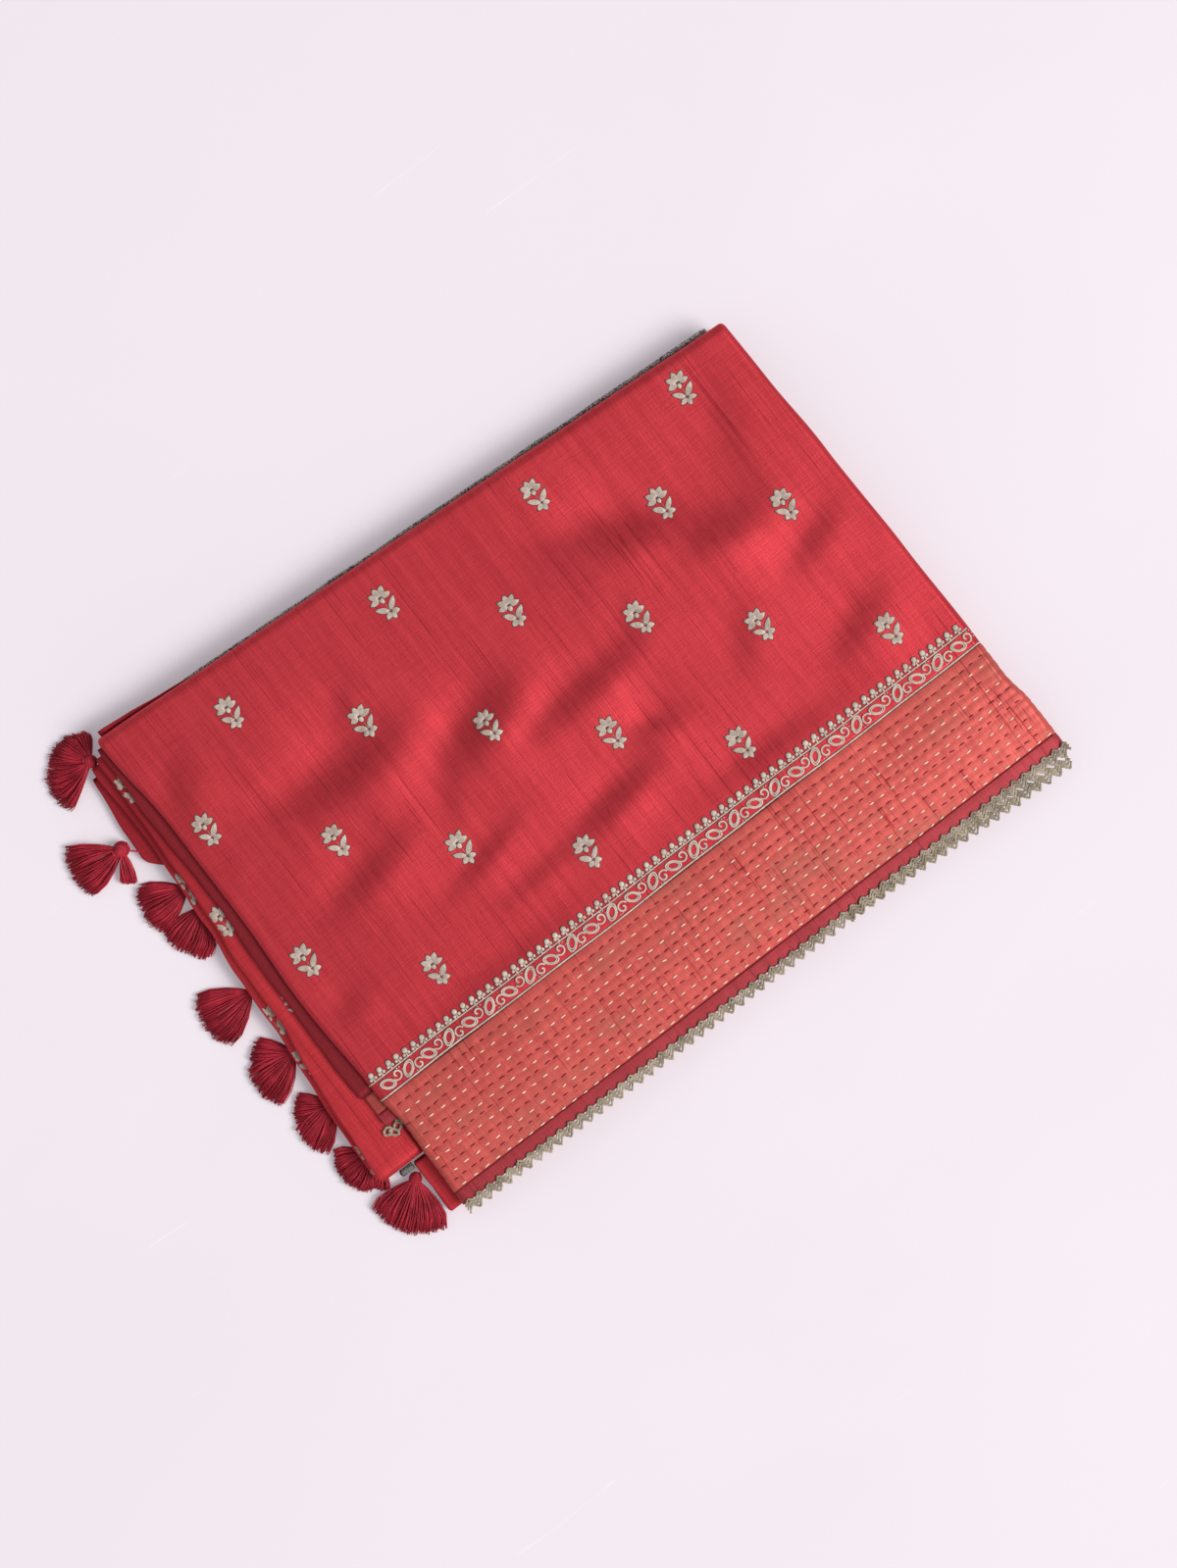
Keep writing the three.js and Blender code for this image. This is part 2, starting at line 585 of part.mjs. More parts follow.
function tassel({ x: given, y, z, knot, cordTo, fans }) {
  const x = given ?? seatedX(y, knot);
  const heart = new THREE.Vector3(x, y, z);
  let made = solid(new THREE.SphereGeometry(knot, KNOT_CHORDS, KNOT_CHORDS / 2).translate(x, y, z));
  for (const { heading, spread, long, longTo = long, locks } of fans) {
    for (let i = 0; i < locks; i += 1) {
      const share = i / (locks - 1);
      const angle = THREE.MathUtils.degToRad(heading + spread * (share - 0.5));
      const level = i % 2 === 0 ? TIER : -TIER;
      const reach = lerp(long, longTo, share) * (i % 3 === 1 ? 0.94 : 1);
      const direction = new THREE.Vector3(Math.cos(angle), Math.sin(angle), 0);
      const at = (way, height) => heart.clone().addScaledVector(direction, reach * way).setZ(height);
      const belly = at(BELLY_AT, lerp(z, TIP_Z, BELLY_AT) + level);
      belly.x -= direction.y * reach * CURL;
      belly.y += direction.x * reach * CURL;
      const path = [at(0, z + level / 3), belly, at(1, TIP_Z + level)];
      made = made.add(solid(strand(path, [LOCK.root, LOCK.belly, LOCK.tip])));
    }
  }
  if (cordTo) {
    const end = new THREE.Vector3(cordTo.x, cordTo.y, cordTo.z);
    made = made.add(solid(strand([heart, end], [LOCK.belly, LOCK.belly])));
  }
  return fromSolid(made);
}

// ---- The part -------------------------------------------------------------------------------------------
const cloth = (color, roughness) =>
  new THREE.MeshStandardMaterial({ color, roughness, metalness: 0, side: THREE.DoubleSide });
const MATERIALS = {
  red: cloth(0xb8383f, 0.5),
  coral: cloth(0xd9675f, 0.55),
  hem: cloth(0xa0303a, 0.5),
  thread: cloth(0xc9b9a6, 0.75),
  lace: cloth(0xac9c87, 0.85),
  print: cloth(0x8d837c, 0.8),
  tassel: cloth(0x8a1f2a, 0.7),
};

const sari = new THREE.Group();

function add(name, geometry, material) {
  geometry.computeVertexNormals();
  const mesh = new THREE.Mesh(geometry, MATERIALS[material]);
  mesh.name = name;
  sari.add(mesh);
}

const fold = (name) => FOLDS.find((f) => f.name === name);
const second = fold("fold_4");

add("inner_layers", innerLayers(), "red");
add("body_panel", bodyPanel(), "red");
add("vine_band", vineBand(), "thread");
add("kantha_strip", kanthaStrip(), "coral");
add("hem_strip", hemStrip(), "hem");
add("upper_lace", upperLace(), "lace");
add("lower_lace", lowerLace(), "lace");
for (const f of FOLDS.slice(0, -1)) add(f.name, foldPiece(f, f.front, f.back), "red");
add("fold_4", foldPiece(second, second.front, second.back, false), "red");
add("second_kantha", foldPiece(second, SECOND_KANTHA_Y, second.front - SEAM, false, false), "coral");
add("second_hem", foldPiece(second, SECOND_HEM_Y, SECOND_KANTHA_Y - SEAM, true, false), "hem");
add("second_lace", secondLace(), "lace");
add("low_flap", shortFold(LOW_FLAP), "red");
add("print_corner", shortFold(PRINT_CORNER), "print");
add("print_fold", backFold(BACK_FOLDS.print), "print");
add("back_fold", backFold(BACK_FOLDS.red), "red");
TASSELS.forEach((t, i) => add(`tassel_${String(i + 1).padStart(2, "0")}`, tassel(t), "tassel"));

// The origin is the middle of the underside of the part's box.
const box = new THREE.Box3().setFromObject(sari);
const centre = box.getCenter(new THREE.Vector3());
sari.position.set(-centre.x, -centre.y, -box.min.z);

export default sari;
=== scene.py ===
"""The looks of a folded silk sari. Sizes are in millimetres, in the cloth's own frame, until a mesh is made:
x runs along the border, y from the laced hem to the back fold, z up from the table."""
import math

import bpy
import numpy as np
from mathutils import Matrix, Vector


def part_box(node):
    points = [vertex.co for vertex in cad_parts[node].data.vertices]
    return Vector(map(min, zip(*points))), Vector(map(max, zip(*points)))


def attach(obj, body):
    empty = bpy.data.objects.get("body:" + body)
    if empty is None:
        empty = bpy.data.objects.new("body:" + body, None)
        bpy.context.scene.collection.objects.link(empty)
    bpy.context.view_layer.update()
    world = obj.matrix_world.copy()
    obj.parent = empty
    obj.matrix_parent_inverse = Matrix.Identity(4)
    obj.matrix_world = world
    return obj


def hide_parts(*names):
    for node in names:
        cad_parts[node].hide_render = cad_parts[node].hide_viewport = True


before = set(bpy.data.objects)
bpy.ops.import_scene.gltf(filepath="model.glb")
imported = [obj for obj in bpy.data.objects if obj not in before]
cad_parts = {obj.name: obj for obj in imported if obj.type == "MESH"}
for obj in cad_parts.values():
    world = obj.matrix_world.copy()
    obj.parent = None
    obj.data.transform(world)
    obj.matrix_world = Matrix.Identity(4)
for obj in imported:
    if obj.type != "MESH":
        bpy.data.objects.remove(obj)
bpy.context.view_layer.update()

MM = 0.001
rng = np.random.default_rng(7)

# ---- The cloth's sizes, as in the part's source ----
STACK_HEIGHT = 24
CLOTH = 1.1
SEAM = 0.3
SEAT = 0.35
HEM_Y = -127
HEM_TOP_Y = -119.6
KANTHA_TOP_Y = -62
BAND_TOP_Y = -52
CORE_FRONT_Y = -125.2
BACK_Y = 152.6
BACK_SLANT = 0.064
ROLL_LEFT = 3
ROLL_RIGHT = 4
ROLL_BACK = 5
CORNER_SHARPNESS = 0.6
FRONT_FALL = 0.0018
SIDE_SAG = 1.4
MIDDLE_X = 9
HALF_WIDTH = 186
CREASE_FADE = 22
PRINT_FOLD_FROM = -130  # lowest x of print_fold
FOLD_3_FRONT = -94  # lowest y of fold_3

# Where the sheet turns down at its left and right sides, from the hem to the back.
SIDE_Y = [-127, -100, -80, -55, 0, 60, 105, 165]
SIDE_LEFT = [-175, -174, -173.4, -175.6, -177.6, -175.4, -175.4, -179]
SIDE_RIGHT = [198, 197.5, 194.8, 194.9, 194, 192.8, 191, 189.5]

# Soft creases: a ridge with a trough behind it, which falls towards the left of its turned length. Each row
# has the middle's x and y, the reach along and across, how steeply it falls, and the turn from x in degrees.
CREASES = [
    (-84, 76, 26, 20, 0.42, 8), (-118, 78, 22, 16, 0.19, -10), (-24, 55, 24, 18, 0.44, 18),
    (-112, 30, 25, 13, 0.31, 12), (28, 38, 32, 13, 0.32, 6), (6, -14, 25, 12, 0.36, 9),
    (-62, 3, 22, 9, 0.24, 14), (-46, -20, 20, 9, 0.16, 4), (44, 2, 13, 11, 0.26, -16),
    (90, 86, 34, 20, 0.38, -24), (126, 60, 22, 18, 0.34, -6), (104, 10, 16, 13, 0.12, 60),
    (160, 92, 28, 16, 0.12, 76), (162, 28, 17, 12, 0.18, 20), (-166, 116, 18, 15, 0.29, 46),
    (-160, -16, 14, 12, 0.20, 10), (154, -18, 18, 14, 0.20, 20), (84, -41, 36, 13, 0.20, -2),
    (-84, -46, 40, 12, 0.16, 2), (-58, 34, 14, 10, 0.10, 60), (66, 54, 14, 11, 0.10, 66),
    (-72, 103, 11, 10, 0.12, 50),
]

# Where the cloth's frame lies in the part's frame, from two nodes whose ends are known.
SHIFT = np.array([
    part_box("print_fold")[0][0] / MM - PRINT_FOLD_FROM,
    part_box("fold_3")[0][1] / MM - FOLD_3_FRONT,
    0.0,
])


# ---- Shape of the top sheet ----
def lerp(a, b, t):
    return a + (b - a) * t


def ease(t):
    t = np.clip(t, 0, 1)
    return t * t * (3 - 2 * t)


def eased(at, stations, values):
    """A value between its stations, eased from each to the next."""
    order = np.argsort(stations)
    stations, values = np.array(stations, float)[order], np.array(values, float)[order]
    i = np.clip(np.searchsorted(stations, at, side="right") - 1, 0, len(stations) - 2)
    return lerp(values[i], values[i + 1], ease((at - stations[i]) / (stations[i + 1] - stations[i])))


def left_at(y):
    return eased(y, SIDE_Y, SIDE_LEFT)


def right_at(y):
    return eased(y, SIDE_Y, SIDE_RIGHT)


def back_at(x):
    return BACK_Y - BACK_SLANT * x


def crease_height(x, y):
    total = 0
    for middle_x, middle_y, long, wide, fall, turn in CREASES:
        dx, dy, turn = x - middle_x, y - middle_y, math.radians(turn)
        lengthwise = (dx * math.cos(turn) + dy * math.sin(turn)) / long
        across = (dy * math.cos(turn) - dx * math.sin(turn)) / wide
        fade = np.exp(-(lengthwise**2) - across**2 / 9) / (1 + across**2) ** 1.5
        total = total - fall * wide * across * fade
    inside = np.minimum(x - left_at(y), right_at(y) - x)
    return total * ease(inside / CREASE_FADE)


def top_height(x, y):
    past = np.maximum(0, KANTHA_TOP_Y - y)
    side = ((x - MIDDLE_X) / HALF_WIDTH) ** 4
    return STACK_HEIGHT - FRONT_FALL * past**2 - SIDE_SAG * side + crease_height(x, y)


def sheet_z(x, y):
    """Level of the sheet's face anywhere in plan, with the round folds at its sides and back."""
    x, y = np.broadcast_arrays(np.asarray(x, float), np.asarray(y, float))
    low_x, high_x = left_at(y) + ROLL_LEFT, right_at(y) - ROLL_RIGHT
    over_left = np.clip((low_x - x) / ROLL_LEFT, 0, 1)
    over_right = np.clip((x - high_x) / ROLL_RIGHT, 0, 1)
    over_back = np.clip((y - back_at(x) + ROLL_BACK) / ROLL_BACK, 0, 1)
    drop = ROLL_LEFT * (1 - np.sqrt(1 - over_left**2)) + ROLL_RIGHT * (1 - np.sqrt(1 - over_right**2))
    return top_height(np.clip(x, low_x, high_x), y) - drop - ROLL_BACK * (1 - np.sqrt(1 - over_back**2))


LIP = 8  # rings round a fold's quarter turn


def columns(count):
    """Stations over the width, with the rings round the left and the right fold."""
    rings = np.arange(1, LIP + 1)
    s = np.concatenate([np.zeros(LIP), np.linspace(0, 1, count + 1), np.ones(LIP)])
    a = np.concatenate([rings[::-1], np.zeros(count + 1), rings])
    return s, a


def sheet_points(s, a, y, b):
    """Points of the sheet's face and their normals, for rows of y and the rings b round the back fold."""
    y = np.broadcast_to(y, np.broadcast_shapes(np.shape(y), (len(b), len(s))))
    a, b = np.broadcast_arrays(a[None, :], b[:, None])
    left = s[None, :] < 0.5
    roll_x = np.where(left, ROLL_LEFT, ROLL_RIGHT)
    x = lerp(left_at(y) + ROLL_LEFT, right_at(y) - ROLL_RIGHT, s[None, :])
    ring = np.maximum(a, b)
    bend = math.pi / 2 * ring / LIP
    turn = math.pi / 2 * np.where(a >= b, b, 2 * ring - a) / np.maximum(2 * ring, 1)
    out_x = roll_x * np.sin(bend) * np.cos(turn) ** CORNER_SHARPNESS
    out_y = ROLL_BACK * np.sin(bend) * np.sin(turn) ** CORNER_SHARPNESS
    drop = lerp(roll_x, ROLL_BACK, np.sin(turn) ** 2) * (1 - np.cos(bend))
    sign = np.where(left, -1, 1)
    points = np.stack([x + sign * out_x, y + out_y, top_height(x, y) - drop], -1)
    flat = np.cross(np.gradient(points, axis=1), np.gradient(points, axis=0))
    flat /= np.linalg.norm(flat, axis=-1, keepdims=True)
    rolled = np.stack([sign * np.sin(bend) * np.cos(turn), np.sin(bend) * np.sin(turn), np.cos(bend)], -1)
    return points, np.where((ring > 0)[..., None], rolled, flat)


def straight_rows(s, a, ys):
    ys = np.asarray(ys, float)
    return sheet_points(s, a, ys[:, None], np.zeros(len(ys)))


def body_rows(s, a, straight, fan):
    """Rows of the body cloth: straight as far as the band, then fanned out to the slanting back fold."""
    x = lerp(SIDE_LEFT[-1], SIDE_RIGHT[-1], s)
    t = np.concatenate([np.linspace(0, 1, fan + 1)[1:], np.ones(LIP)])
    fanned = lerp(BAND_TOP_Y, back_at(x) - ROLL_BACK, t[:, None])
    front = np.linspace(KANTHA_TOP_Y + SEAM, BAND_TOP_Y, straight)[:, None] + 0 * s
    b = np.concatenate([np.zeros(straight + fan), np.arange(1, LIP + 1)])
    return sheet_points(s, a, np.concatenate([front, fanned]), b)


# ---- Meshes ----
def placed(name, data):
    """A new object in the scene."""
    obj = bpy.data.objects.new(name, data)
    bpy.context.scene.collection.objects.link(obj)
    return obj


class Form:
    """Gathers points and faces of one piece."""

    def __init__(self):
        self.points = []
        self.faces = []
        self.count = 0

    def add(self, points, faces):
        points = np.asarray(points, float).reshape(-1, 3)
        for group in faces:
            self.faces.extend((np.asarray(group) + self.count).tolist())
        self.points.append(points)
        self.count += len(points)

    def piece(self, name, material, slot, node=None):
        """The mesh as a piece of the sari, in place of a node of the part where one is named."""
        mesh = bpy.data.meshes.new(name)
        mesh.from_pydata(((np.concatenate(self.points) + SHIFT) * MM).tolist(), [], self.faces)
        mesh.polygons.foreach_set("use_smooth", [True] * len(mesh.polygons))
        mesh.materials.append(material)
        mesh.update()
        obj = placed(name, mesh)
        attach(obj, "root")
        if node:
            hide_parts(node)
        return obj


def grid_faces(rows, cols, first=0, flipped=False):
    p = first + np.arange(rows * cols).reshape(rows, cols)
    quad = [p[:-1, :-1], p[:-1, 1:], p[1:, 1:], p[1:, :-1]]
    return np.stack(quad[::-1] if flipped else quad, -1).reshape(-1, 4)


def rim_of(rows, cols):
    p = np.arange(rows * cols).reshape(rows, cols)
    return np.concatenate([p[0], p[1:, -1], p[-1, -2::-1], p[-2:0:-1, 0]])


def shell(form, points, normals, thickness):
    """The thin wall under a grid of points, closed round its rim."""
    rows, cols = points.shape[:2]
    size = rows * cols
    rim = rim_of(rows, cols)
    following = np.roll(rim, -1)
    walls = np.stack([rim, rim + size, following + size, following], -1)
    both = np.concatenate([points.reshape(-1, 3), (points - normals * thickness).reshape(-1, 3)])
    form.add(both, [grid_faces(rows, cols), grid_faces(rows, cols, size, True), walls])


def wound_faces(p, closed):
    """Faces round tubes, from the numbers of their points: tube, station along it, and place round it."""
    ahead = np.roll(p, -1, axis=1) if closed else p[:, 1:]
    here = p if closed else p[:, :-1]
    return np.stack([here, ahead, np.roll(ahead, -1, axis=2), np.roll(here, -1, axis=2)], -1).reshape(-1, 4)


def unit(v):
    return v / np.maximum(np.linalg.norm(v, axis=-1, keepdims=True), 1e-9)


def grid_normals(points):
    return unit(np.cross(np.gradient(points, axis=1), np.gradient(points, axis=0)))


def tubes(form, paths, radii, sides=4, closed=False, flat=1.0):
    """Threads along many paths of equal point counts; flat squeezes them in height."""
    paths = np.asarray(paths, float)
    n, k = paths.shape[:2]
    radii = np.broadcast_to(radii, (n, k))
    around = np.roll(paths, -1, axis=1) - np.roll(paths, 1, axis=1)
    tangent = unit(around if closed else np.gradient(paths, axis=1))
    side = unit(np.cross(tangent, [0.0, 0.0, 1.0]) + [0.0, 1e-7, 0.0])
    top = np.cross(side, tangent)
    angle = 2 * math.pi * (np.arange(sides) + 0.5) / sides
    ring = np.cos(angle)[:, None] * side[:, :, None] + flat * np.sin(angle)[:, None] * top[:, :, None]
    points = paths[:, :, None] + radii[:, :, None, None] * ring
    p = np.arange(n * k * sides).reshape(n, k, sides)
    form.add(points, [wound_faces(p, closed)] + ([] if closed else [p[:, 0], p[:, -1, ::-1]]))


# ---- Materials ----
class Paint:
    """Builds a material's nodes. Lengths in its textures are in millimetres."""

    def __init__(self, name):
        self.material = bpy.data.materials.new(name)
        self.material.use_nodes = True
        self.nodes = self.material.node_tree.nodes
        self.links = self.material.node_tree.links
        self.shader = next(n for n in self.nodes if n.type == "BSDF_PRINCIPLED")
        self.place = self.nodes.new("ShaderNodeTexCoord").outputs["Object"]

    def link(self, value, socket):
        if hasattr(value, "is_output"):
            self.links.new(value, socket)
        elif isinstance(value, tuple):
            socket.default_value = (*value, 1.0)
        else:
            socket.default_value = value

    def node(self, kind, **sockets):
        """A new node. Its sockets are named with _ for a space, and get a value or another node's output."""
        made = self.nodes.new("ShaderNode" + kind)
        for name, value in sockets.items():
            self.link(value, made.inputs[name.replace("_", " ")])
        return made

    def stretched(self, period):
        """The place on the piece, in grains period mm long in x, y and z."""
        return self.node("Mapping", Scale=[1 / (p * MM) for p in period], Vector=self.place).outputs[0]

    def noise(self, period, detail=2.0, rough=0.5, distort=0.0):
        """Noise whose grains are about period mm long in x, y and z."""
        return self.node(
            "TexNoise", Vector=self.stretched(period), Scale=1.0, Detail=detail, Roughness=rough,
            Distortion=distort,
        ).outputs["Fac"]

    def band(self, value, low, high):
        """0 under low, 1 over high, eased between."""
        node = self.node("MapRange", Value=value, From_Min=low, From_Max=high)
        node.interpolation_type = "SMOOTHSTEP"
        return node.outputs["Result"]

    def math(self, kind, a, b=0.0):
        node = self.node("Math")
        node.operation = kind
        self.link(a, node.inputs[0])
        self.link(b, node.inputs[1])
        return node.outputs[0]

    def mix(self, share, a, b):
        node = self.node("Mix")
        node.data_type = "RGBA"
        self.link(share, node.inputs["Factor"])
        self.link(a, node.inputs["A"])
        self.link(b, node.inputs["B"])
        return node.outputs["Result"]

    def over(self, colour, mask, share, other):
        """The colour with a share of another laid over it where the mask is 1."""
        return self.mix(self.math("MULTIPLY", mask, share), colour, other)

    def sum(self, *terms):
        """Sum of (weight, value) pairs."""
        total = 0.0
        for weight, value in terms:
            total = self.math("ADD", self.math("MULTIPLY", value, weight), total)
        return total

    def finish(self, colour, height, depth, roughness, sheen=0.0, sheen_tint=(1, 1, 1), specular=0.5,
               tint=(1, 1, 1), metallic=0.0):
        """Sets the shader's sockets; depth is how far in mm the height stands out."""
        values = {
            "Base Color": colour,
            "Normal": self.node("Bump", Strength=1.0, Distance=depth * MM, Height=height).outputs[0],
            "Roughness": roughness,
            "Sheen Weight": sheen,
            "Sheen Roughness": 0.4,
            "Sheen Tint": sheen_tint,
            "Specular IOR Level": specular,
            "Specular Tint": tint,
            "Metallic": metallic,
        }
        for name, value in values.items():
            self.link(value, self.shader.inputs[name])
        return self.material


# Painted shade: how much of the shade colour that raw_silk lays on from a given y shows where it is fullest.
PAINTED_SHADE_SHARE = 0.75  # how much of the deeper colour shows where it is fullest
THICK_BAND = 0.07  # how quickly a thick slub's edge fades
SILK_TINT = (1.0, 0.72, 0.7)


def raw_silk(name, light, dark, slub, metallic=0.7, slub_share=0.6, thick_from=0.73, blotch=None, painted_shade=None):
    """Plain weave of uneven threads, with dark slubs along y and a soft metallic sheen.

    The less thick_from, the more thick slubs. blotch is the share and colour of its patches. The last
    argument paints shade: it holds the y at which the painted shade begins, the y at which it is fullest, and
    the shade's colour.
    """
    paint = Paint(name)
    weft = paint.noise((0.5, 16, 2), detail=2)
    warp = paint.noise((11, 0.5, 2), detail=2)
    grain = paint.noise((0.5, 0.5, 0.5), detail=1)
    streak = paint.noise((4.5, 150, 12), detail=3, rough=0.6)
    fine = paint.band(paint.noise((0.8, 110, 6), detail=1, distort=0.45), 0.64, 0.74)
    where = paint.band(paint.noise((30, 110, 40), detail=2), 0.4, 0.6)
    thick = paint.band(paint.noise((1.2, 45, 8), detail=2, distort=0.6), thick_from, thick_from + THICK_BAND)
    slubs = paint.math("MAXIMUM", paint.math("MULTIPLY", fine, where), thick)
    tone = paint.sum((0.26, weft), (0.22, warp), (0.22, grain), (0.3, streak))
    colour = paint.mix(paint.band(tone, 0.36, 0.64), dark, light)
    colour = paint.over(colour, slubs, slub_share, slub)
    if blotch:
        blotch_share, blotch_colour = blotch
        patch = paint.band(paint.noise((38, 22, 38), detail=3), 0.48, 0.7)
        colour = paint.over(colour, patch, blotch_share, blotch_colour)
    # Painted shade: the colour darkens from one y to another, as where the top sheet's edge shades the folds.
    if painted_shade:
        from_y, full_y, shade_colour = painted_shade
        y = paint.node("SeparateXYZ", Vector=paint.place).outputs["Y"]
        colour = paint.over(colour, paint.band(y, from_y * MM, full_y * MM), PAINTED_SHADE_SHARE, shade_colour)
    height = paint.sum((0.3, weft), (0.3, warp), (0.2, grain), (0.6, slubs))
    return paint.finish(colour, height, 0.25, 0.5, 0.1, sheen_tint=light, tint=SILK_TINT, metallic=metallic)


def thread_paint(name, light, dark, roughness=0.7, sheen=0.3):
    """Twisted thread: a fine two-tone grain."""
    paint = Paint(name)
    ply = paint.noise((0.35, 0.35, 0.35), detail=1)
    wide = paint.noise((6, 6, 6), detail=2)
    tone = paint.sum((0.6, ply), (0.5, wide))
    colour = paint.mix(paint.band(tone, 0.4, 0.7), dark, light)
    return paint.finish(colour, ply, 0.12, roughness, sheen=sheen, sheen_tint=light, specular=0.3)


PRINT_CELL = 5  # how far apart the scroll's lines lie
INK = (0.028, 0.026, 0.03)


def print_paint(name, dark, light):
    """Beige cloth printed with a dark scroll: rings and curls, with no drawing of anything."""
    paint = Paint(name)
    cells = paint.node("TexVoronoi", Vector=paint.stretched((PRINT_CELL, PRINT_CELL, PRINT_CELL)))
    cells.feature = "DISTANCE_TO_EDGE"
    line = paint.band(cells.outputs["Distance"], 0.14, 0.06)
    curl = paint.band(paint.noise((2.2, 2.2, 2.2), detail=1, distort=2.0), 0.58, 0.64)
    ink = paint.math("MAXIMUM", line, curl)
    grain = paint.noise((0.5, 0.5, 0.5), detail=1)
    colour = paint.over(paint.mix(grain, dark, light), ink, 0.9, INK)
    return paint.finish(colour, grain, 0.2, 0.75, specular=0.25)


FLOOR_PAINTED_GLOW = (0.97, 0.89, 0.95, 1.0)


def floor_paint(name):
    """Pale, faintly scratched table top. It glows a little: painted light that lightens the shadows cast on
    it.
    """
    paint = Paint(name)
    wide = paint.noise((260, 190, 100), detail=3, distort=0.6)
    scratch = paint.band(paint.noise((90, 3, 90), detail=3, distort=1.2), 0.72, 0.8)
    colour = paint.mix(wide, (0.535, 0.49, 0.52), (0.585, 0.54, 0.57))
    colour = paint.over(colour, scratch, 0.2, (0.75, 0.70, 0.74))
    # Painted light: the floor glows, which lightens the shadows cast on it.
    paint.shader.inputs["Emission Color"].default_value = FLOOR_PAINTED_GLOW
    paint.shader.inputs["Emission Strength"].default_value = 0.22
    return paint.finish(colour, wide, 0.2, 0.6, specular=0.2)


RED_LIGHT = (0.56, 0.043, 0.055)
RED_DARK = (0.40, 0.024, 0.034)
RED_SLUB = (0.30, 0.010, 0.018)
RED = raw_silk("red_silk", RED_LIGHT, RED_DARK, RED_SLUB)
# Painted shade: a much darker copy of the red silk for the top fold, which lies in the top sheet's shadow.
RED_PAINTED_SHADE = raw_silk(
    "red_silk_painted_shade", (0.25, 0.014, 0.021), (0.17, 0.009, 0.014), (0.10, 0.005, 0.008), metallic=0.6,
)
# Painted light and shade: a lighter copy of the red silk for the folds at the left, the back fold, the inner
# layers and the low flap, standing in for the folds' lit crests, darkened towards the back with painted shade
# where the top sheet overhangs them.
RED_FOLD_PAINTED_LIGHT = raw_silk(
    "red_silk_folds_painted_light", (0.60, 0.043, 0.052), (0.42, 0.024, 0.032), RED_SLUB,
    painted_shade=(10, 110, (0.30, 0.014, 0.024)),
)
CORAL = raw_silk(
    "coral_silk", (0.53, 0.088, 0.070), (0.39, 0.050, 0.043), (0.34, 0.014, 0.018),
    metallic=0.35, slub_share=1.0, thick_from=0.66, blotch=(0.55, (0.34, 0.085, 0.058)),
)
# Painted shade: a darker copy of the coral silk for the next layer's border end, which lies in the top
# sheet's shadow.
CORAL_PAINTED_SHADE = raw_silk(
    "coral_silk_painted_shade", (0.38, 0.055, 0.042), (0.27, 0.033, 0.027), (0.2, 0.01, 0.012), metallic=0.3,
)
HEM = raw_silk("hem_silk", (0.32, 0.027, 0.036), (0.22, 0.015, 0.022), (0.18, 0.008, 0.013), metallic=0.45)
BEIGE = thread_paint("beige_thread", (0.62, 0.53, 0.44), (0.40, 0.32, 0.26))
CREAM = thread_paint("cream_thread", (0.90, 0.66, 0.50), (0.70, 0.46, 0.34))
# Painted shade: dark lines round the petals and buds and beside the cords stand for the shade at the raised
# embroidery's edges.
OUTLINE_SHADE = thread_paint("painted_shade_outline", (0.17, 0.07, 0.06), (0.08, 0.03, 0.03))
PINK = thread_paint("stem_thread", (0.60, 0.22, 0.20), (0.45, 0.12, 0.12))
MAROON = thread_paint("maroon_thread", (0.28, 0.012, 0.024), (0.17, 0.006, 0.014))
CROCHET = thread_paint("crochet_cotton", (0.42, 0.355, 0.26), (0.17, 0.135, 0.09), roughness=0.9)
YARN = thread_paint("tassel_yarn", (0.50, 0.022, 0.045), (0.25, 0.008, 0.018), roughness=0.6, sheen=0.5)
# Lit and shaded copies of one printed cloth: the back fold's ground is lightened as painted light, since that
# fold lies in the top sheet's shadow; the corner's ground is darkened as painted shade.
PRINT_PAINTED_LIGHT = print_paint("printed_cloth", (0.58, 0.51, 0.46), (0.80, 0.72, 0.66))
PRINT_PAINTED_SHADE = print_paint("printed_cloth_painted_shade", (0.16, 0.155, 0.135), (0.27, 0.26, 0.23))
FLOOR = floor_paint("pale_floor")

# ---- Top sheet ----
WALL = 0.6  # thickness of the shells that show the cloth
BODY_COLUMNS = 190
BODY_FAN = 112
BODY_STRAIGHT = 7


def ripple(x, y):
    """Faint waves left in silk by handling."""
    return 0.10 * (
        np.sin(x / 7.1 + 1.3 * np.sin(y / 21)) * np.sin(y / 9.7 + x / 31)
        + 0.7 * np.sin(x / 12.7 - y / 15.1 + 2 * np.sin(x / 47))
    )


def relief_shell(points, normals, relief):
    """A cloth of the top sheet, with its relief at each x and y."""
    form = Form()
    height = relief(points[..., 0], points[..., 1])
    shell(form, points + normals * height[..., None], normals, WALL)
    return form


def build_body():
    grid = body_rows(*columns(BODY_COLUMNS), BODY_STRAIGHT, BODY_FAN)
    return relief_shell(*grid, ripple).piece("body_cloth", RED, "red_silk", "body_panel")


# Rows of running stitch: cream rows stand out, dark red ones sink in.
CREAM_ROWS = [-72.3, -82.5, -91.8, -100.5, -110, -118.3]
MAROON_ROWS = [-67.5, -78, -87.5, -96.5, -105.5, -114.5]
KANTHA_PUFF = 0.3  # how far the cloth stands up between its rows of stitch
KANTHA_COLUMNS, KANTHA_GRID_ROWS = 330, 74
HEM_COLUMNS, HEM_GRID_ROWS = 160, 12
CREAM_PITCH, CREAM_STITCH = 6.7, 2.6
MAROON_PITCH, MAROON_STITCH = 5.7, 3.0


def row_wander(x, row):
    """Sewn rows are never quite straight."""
    return 0.45 * np.sin(x / 41 + row) + 0.25 * np.sin(x / 17 + 2.3 * row)


